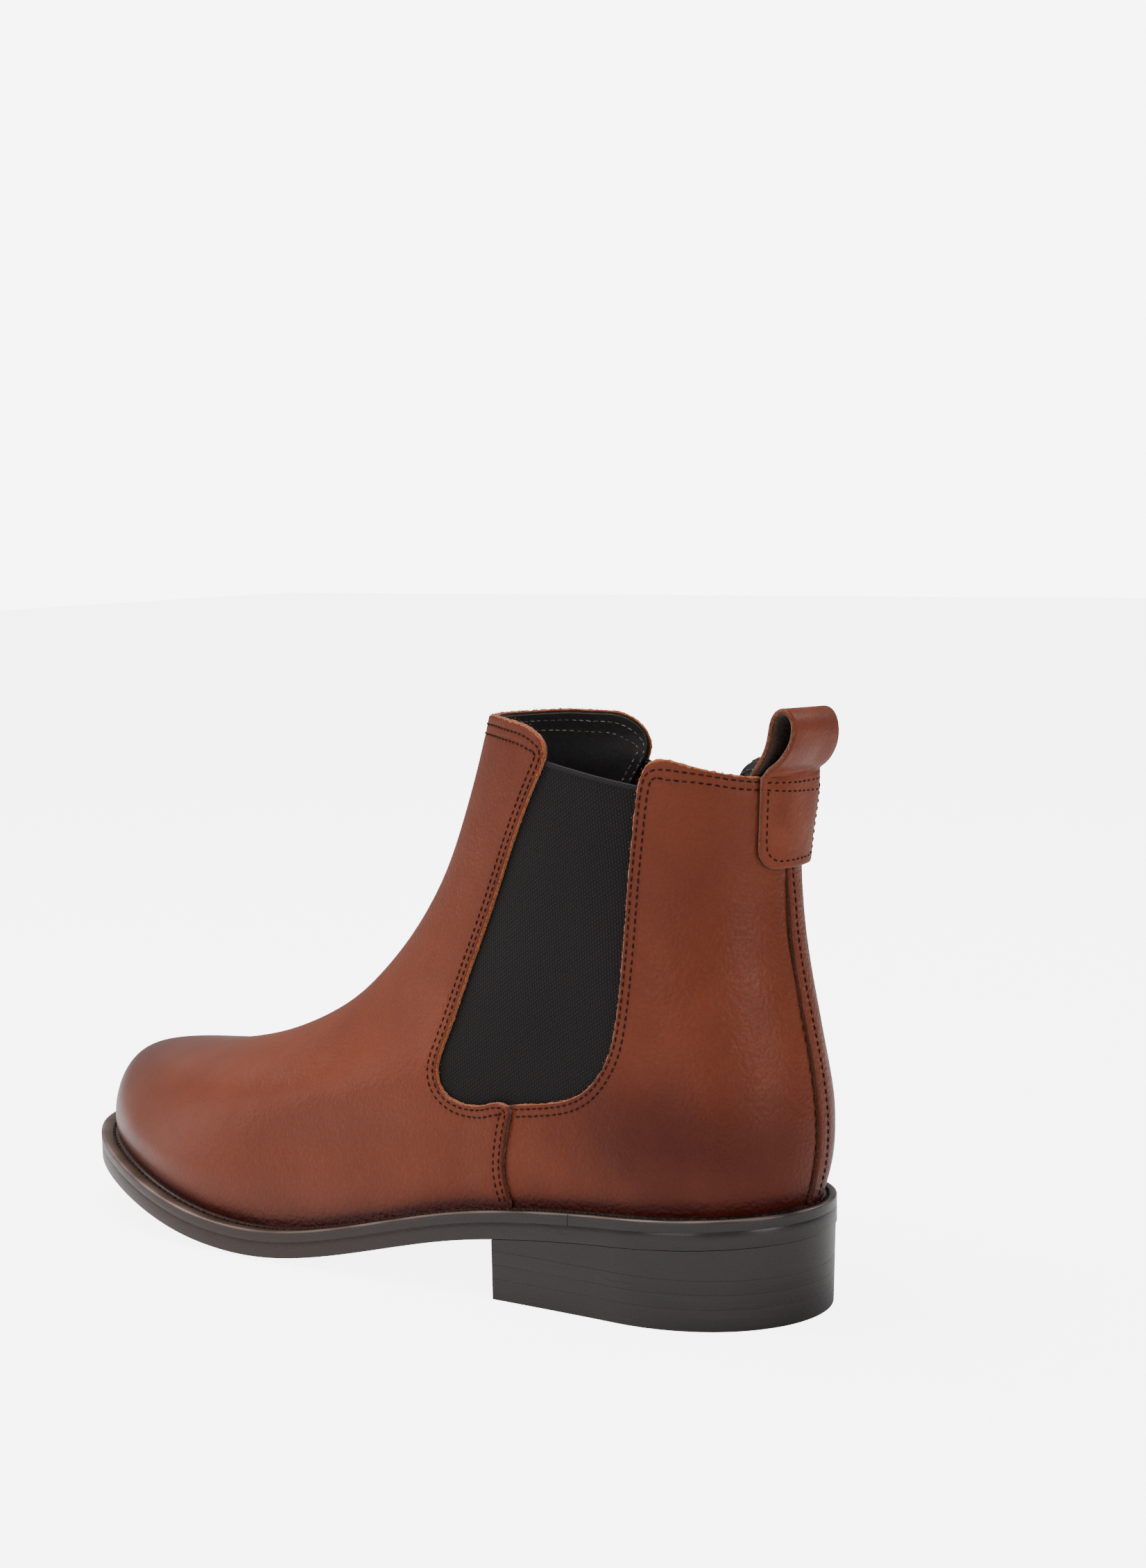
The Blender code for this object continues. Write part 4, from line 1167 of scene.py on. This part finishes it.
strap = add_strap()
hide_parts("pull_tab_outer_leg", "pull_tab_inner_leg", "pull_loop")
turn = np.linspace(0, np.pi / 2, 7)
reach_x, low_z, bend = TAB_HALF_WIDTH - TAB_ROW_INSET, TAB_BOTTOM_Z + 2.1, 4.2
corner = np.stack([reach_x - bend + bend * np.cos(turn), low_z + bend - bend * np.sin(turn)], -1)
box = [(reach_x, TAB_ROW_Z), *corner, *(corner * (-1, 1))[::-1], (-reach_x, TAB_ROW_Z)]
threads += leg_row(box)
for near_z, far_z in ((TAB_ROW_Z, 139.4), (143.2, 142.3)):
    threads += leg_row([(-reach_x - 0.8, far_z), (reach_x + 0.8, near_z)])


# ---------------- the sole

def sole_outline(c, offset):
    """Plan outline (x, s) at an offset from the feather line, positive outwards."""
    c = np.asarray(c, float)
    along = skin_design(c + SMALL, 0.0) - skin_design(c - SMALL, 0.0)
    normal = unit(np.stack([along[..., 1], -along[..., 0]], -1))
    return skin_design(c, 0.0)[..., :2] + normal * np.asarray(offset)[..., None]


def ledge(c):
    s = skin_design(c, 0.0)[..., 1]
    return 3.6 + 1.7 * np.clip((s - 50.0) / 110.0, 0, 1)


WELT_PROFILE = (
    (0, WELT_INNER, -3.1), (1, -0.35, -3.1), (1, -0.03, -3.09), (1, 0, -3.04), (1, 0, -1.3), (1, 0, -0.55),
    (1, -0.1, -0.25), (1, -0.32, -0.06), (1, -0.7, 0.02), (1, -1.15, 0.0), (0, 1.9, -0.06), (0, 1.55, -0.16),
    (0, 1.2, -0.22), (0, 0.8, -0.12), (0, 0.45, 0.1), (0, 0.05, 0.3), (0, -0.6, 0.42), (0, WELT_INNER, 0.2),
)
# how pale each point of the welt's profile is painted: wear on its rim, and a painted highlight
WELT_WEAR_AND_HIGHLIGHT = (0, 0, 0, 0, 0, 0.1, 0.7, 1.0, 0.9, 0.5, 0.1, 0, 0, 0, 0, 0, 0, 0)


def add_welt(name, c):
    loops = []
    for from_ledge, extra, height in WELT_PROFILE:
        plan = sole_outline(c, from_ledge * ledge(c) + extra)
        loops.append(np.concatenate([plan, (welt_top(plan[:, 1]) + height)[:, None]], -1))
    size = len(WELT_PROFILE)
    points = placed(np.stack(loops, 1).reshape(-1, 3))
    ends = [tuple(range(size - 1, -1, -1)), tuple(range(len(points) - size, len(points)))]
    faces = grid_faces(len(c), size, closed=True) + ends
    rub_and_highlight = np.tile(WELT_WEAR_AND_HIGHLIGHT, len(c)) * (0.75 + 0.35 * noise(points, 14.0, 41))
    return add_mesh(name, points, faces, [look["edge"]], None, {"rub_and_highlight": np.clip(rub_and_highlight, 0, 1)})


def full_plan(offset_of, count=220):
    c = np.linspace(0, 1, count + 1)
    outer = sole_outline(c, offset_of(c))
    inner = sole_outline(2 - c[1:-1], offset_of(2 - c[1:-1]))[::-1]
    return np.concatenate([outer, inner])


def heel_outline(offset_of, end_s, count=130):
    """The plan outline from the back round both sides to a straight breast."""
    trace = np.linspace(0, 0.5, 800)
    sides = []
    for sign in (1, -1):
        line = sole_outline(sign * trace, offset_of(trace))
        at = np.interp(end_s, line[:, 1], trace) * np.linspace(0, 1, count + 1)
        sides.append(at_reach(at, trace, line))
    return np.concatenate([sides[0], sides[1][:0:-1]])


def stacked(name, loops, finish, slots_of):
    """A solid of plan loops, one over another, its two ends closed across."""
    size = len(loops[0])
    points = placed(np.concatenate(loops))
    faces = grid_faces(len(loops), size, closed=True)
    slots = list(np.repeat(slots_of, size))
    for shift, slot in ((0, slots_of[0]), (len(points) - size, slots_of[-1])):
        for i in range(size // 2):
            corners = []
            for corner in (i, i + 1, (size - i - 1) % size, (size - i) % size):
                if corner + shift not in corners:
                    corners.append(corner + shift)
            if len(corners) > 2:
                faces.append(tuple(corners))
                slots.append(slot)
    return add_mesh(name, points, faces, finish, slots, {"rub_and_highlight": np.zeros(len(points))}, 0.5)


def with_height(plan, height):
    z = height(plan[:, 1]) if callable(height) else np.full(len(plan), float(height))
    return np.concatenate([plan, z[:, None]], -1)


def over_welt(rise):
    return lambda s: welt_top(s) + rise


def add_outsole():
    low, high = -WELT_THICK - GAP - OUTSOLE_THICK, -WELT_THICK - 0.02
    steps = (
        (-7.2, low), (-6.7, low), (-6.5, low + 0.45), (-5.9, low + 0.45), (-5.7, low), (-1.2, low),
        (-0.3, low + 0.03), (-0.1, low + 0.12), (0.0, low + 0.35), (0.0, low + 2.6), (0.0, high - 0.06),
        (-0.03, high),
    )
    loops = [with_height(full_plan(lambda c, d=d: ledge(c) + d), over_welt(h)) for d, h in steps]
    return stacked("outsole_leather", loops, [look["sole"], look["edge"]], [0] * 6 + [1] * 5)


def heel_loop(height, shrink, z):
    taper = HEEL_TAPER * (1 - height / WELT_TOP[0][1])
    plan = heel_outline(lambda c: ledge(c) - HEEL_INSET - shrink, HEEL_LENGTH - shrink)
    pull = taper * np.clip(1 - plan[:, 1] / 30.0, 0, 1) ** 2
    return with_height(plan + np.stack([np.zeros(len(plan)), pull], -1), z)


def add_heel_piece(name, low, high, slots, bottom_round):
    loops = []
    for height, shrink, z in (
        (low, bottom_round, low), (low, 0.3 * bottom_round, low + 0.3 * bottom_round),
        (low, 0.0, low + bottom_round), (high, 0.0, high - 0.03), (high, 0.02, high),
    ):
        loops.append(heel_loop(height, shrink, z))
    return stacked(name, loops, heel_finishes, slots)


rand_c = float(girth_of(RAND_END_S, np.array(0.0)))
welt = add_welt("welt_strip", np.linspace(rand_c + 0.0003, 2 - rand_c - 0.0003, 520))
rand = add_welt("heel_rand_strip", np.linspace(-rand_c + 0.0003, rand_c - 0.0003, 200))
outsole = add_outsole()
heel_finishes = [look["edge"], look["sole"], look["rubber"]]
top_piece = add_heel_piece("top_piece_rubber", 0.0, HEEL_CUTS[1], [2, 2, 0, 0], 0.35)
lifts = []
for number, (low, high) in enumerate(zip(HEEL_CUTS[1:], HEEL_CUTS[2:]), 1):
    lifts.append(add_heel_piece(f"heel_lift_{number}_leather", low + HEEL_SEAM, high, [1, 0, 0, 0], 0.03))
seat_low = HEEL_CUTS[3] + HEEL_SEAM
seat_top = -WELT_THICK - GAP - OUTSOLE_THICK - HEEL_SEAM
seat_loops = [heel_loop(seat_low, 0.03, seat_low), heel_loop(seat_low, 0.0, seat_low + 0.03)]
seat_loops += [heel_loop(24.0, 0.0, over_welt(seat_top - 0.05)), heel_loop(24.0, 0.04, over_welt(seat_top))]
seat = stacked("heel_seat_leather", seat_loops, heel_finishes, [1, 0, 0])
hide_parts("welt")
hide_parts("heel_rand")
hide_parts("outsole")
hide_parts("top_piece")
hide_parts("heel_lift_1")
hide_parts("heel_lift_2")
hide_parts("heel_seat_lift")

plan = sole_outline(np.linspace(0, 2, 3000), np.full(3000, WELT_ROW))
track = placed(with_height(plan, over_welt(-0.12)))
reach = travelled(track)
at = np.linspace(0, reach[-1], int(reach[-1] / WELT_PITCH), endpoint=False)
centre = at_reach(at, reach, track)
direction = unit(at_reach((at + 0.5) % reach[-1], reach, track) - centre)
upward = unit(np.cross(np.cross(direction, (0.0, 0.0, 1.0)), direction))
welt_places = list(zip(centre, direction, upward))
welt_threads = add_stitches("welt_stitches", welt_places, look["welt_thread"], 2.15, 0.36, 0.28)

upper_threads = add_stitches("upper_stitches", threads, look["thread"])
lining_threads = add_stitches("lining_stitches", pale_threads, look["pale_thread"], 1.5, 0.2, 0.12)


# ---------------- bodies, slots and the solid model's own pieces

for piece in (vamp, quarter_outer, quarter_inner, *gores, vamp_lining, quarter_lining, welt, rand, outsole):
    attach(piece, "boot")
for piece in (top_piece, *lifts, seat, welt_threads, upper_threads, lining_threads, edge_fibres):
    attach(piece, "boot")
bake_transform(strap)

kept = {
    "insole": "board", "heel_seat_board": "board", "cork_filler": "cork", "shank": "steel",
    "sock_liner": "sock", "heel_counter": "stiffener", "toe_puff": "stiffener",
}
for number in range(1, 6):
    kept[f"heel_pin_{number}"] = "brass"
for name, finish in kept.items():
    frame["nodes"][name].material_slots[0].material = look[finish]


# ---------------- camera, floor and light

lens = bpy.data.cameras.new("camera")
lens.lens = CAMERA_LENS
lens.shift_x, lens.shift_y = CAMERA_SHIFT
lens.clip_start = 0.01
camera = linked("camera", lens)
camera.location = CAMERA_PLACE
camera.rotation_mode = "QUATERNION"
aim = Vector(CAMERA_VIEW).to_track_quat("-Z", "Y")
camera.rotation_quaternion = aim @ Quaternion((0, 0, 1), math.radians(CAMERA_ROLL))
bpy.context.scene.camera = camera


def when_seen(nodes, otherwise, seen):
    """One value for what the camera sees directly and another for the light that things get."""
    return nodes.ranged(nodes.node("LightPath", "Is Camera Ray"), 0.0, 1.0, otherwise, seen)


nodes = new_finish("pale_floor")
nodes.feed(nodes.tree.nodes["Principled BSDF"], {
    "Base Color": (0.8, 0.8, 0.8), "Roughness": 0.9, "Specular IOR Level": 0.0,
    "Emission Color": (1.0, 1.0, 1.0), "Emission Strength": when_seen(nodes, 0.0, FLOOR_GLOW),
})
floor_mesh = bpy.data.meshes.new("floor")
corners = [(x * FLOOR_HALF, y * FLOOR_HALF, FLOOR_Z) for x, y in ((-1, -1), (1, -1), (1, 1), (-1, 1))]
floor_mesh.from_pydata(corners, [], [(0, 1, 2, 3)])
floor_mesh.materials.append(nodes.owner)
floor = linked("floor", floor_mesh)

world = bpy.data.worlds.new("studio")
bpy.context.scene.world = world
nodes = Nodes(world)
background = nodes.tree.nodes["Background"]
nodes.feed(background, {"Color": (1.0, 1.0, 1.0), "Strength": when_seen(nodes, WORLD_LIGHT, WORLD_SEEN)})


def add_light(name, place, target, size, power):
    data = bpy.data.lights.new(name, "AREA")
    data.shape = "RECTANGLE"
    data.size, data.size_y = size
    data.energy = power
    light = linked(name, data)
    light.location = place
    light.rotation_mode = "QUATERNION"
    light.rotation_quaternion = (Vector(target) - Vector(place)).to_track_quat("-Z", "Y")


add_light("key", (0.2, -0.5, 1.45), (0, -0.06, 0.06), (1.1, 1.0), 26.0)
add_light("front", (0.9, -1.3, 0.45), (0, -0.1, 0.04), (0.9, 0.6), 2.0)
add_light("fill", (1.5, 0.1, 0.5), (0, 0.0, 0.06), (0.9, 0.7), 3.9)
add_light("rim", (-0.9, 0.5, 0.8), (0, 0.0, 0.08), (0.5, 0.5), 2.5)
add_light("back", (0.35, 1.4, 0.55), (0, 0.0, 0.06), (0.7, 0.7), 6.5)
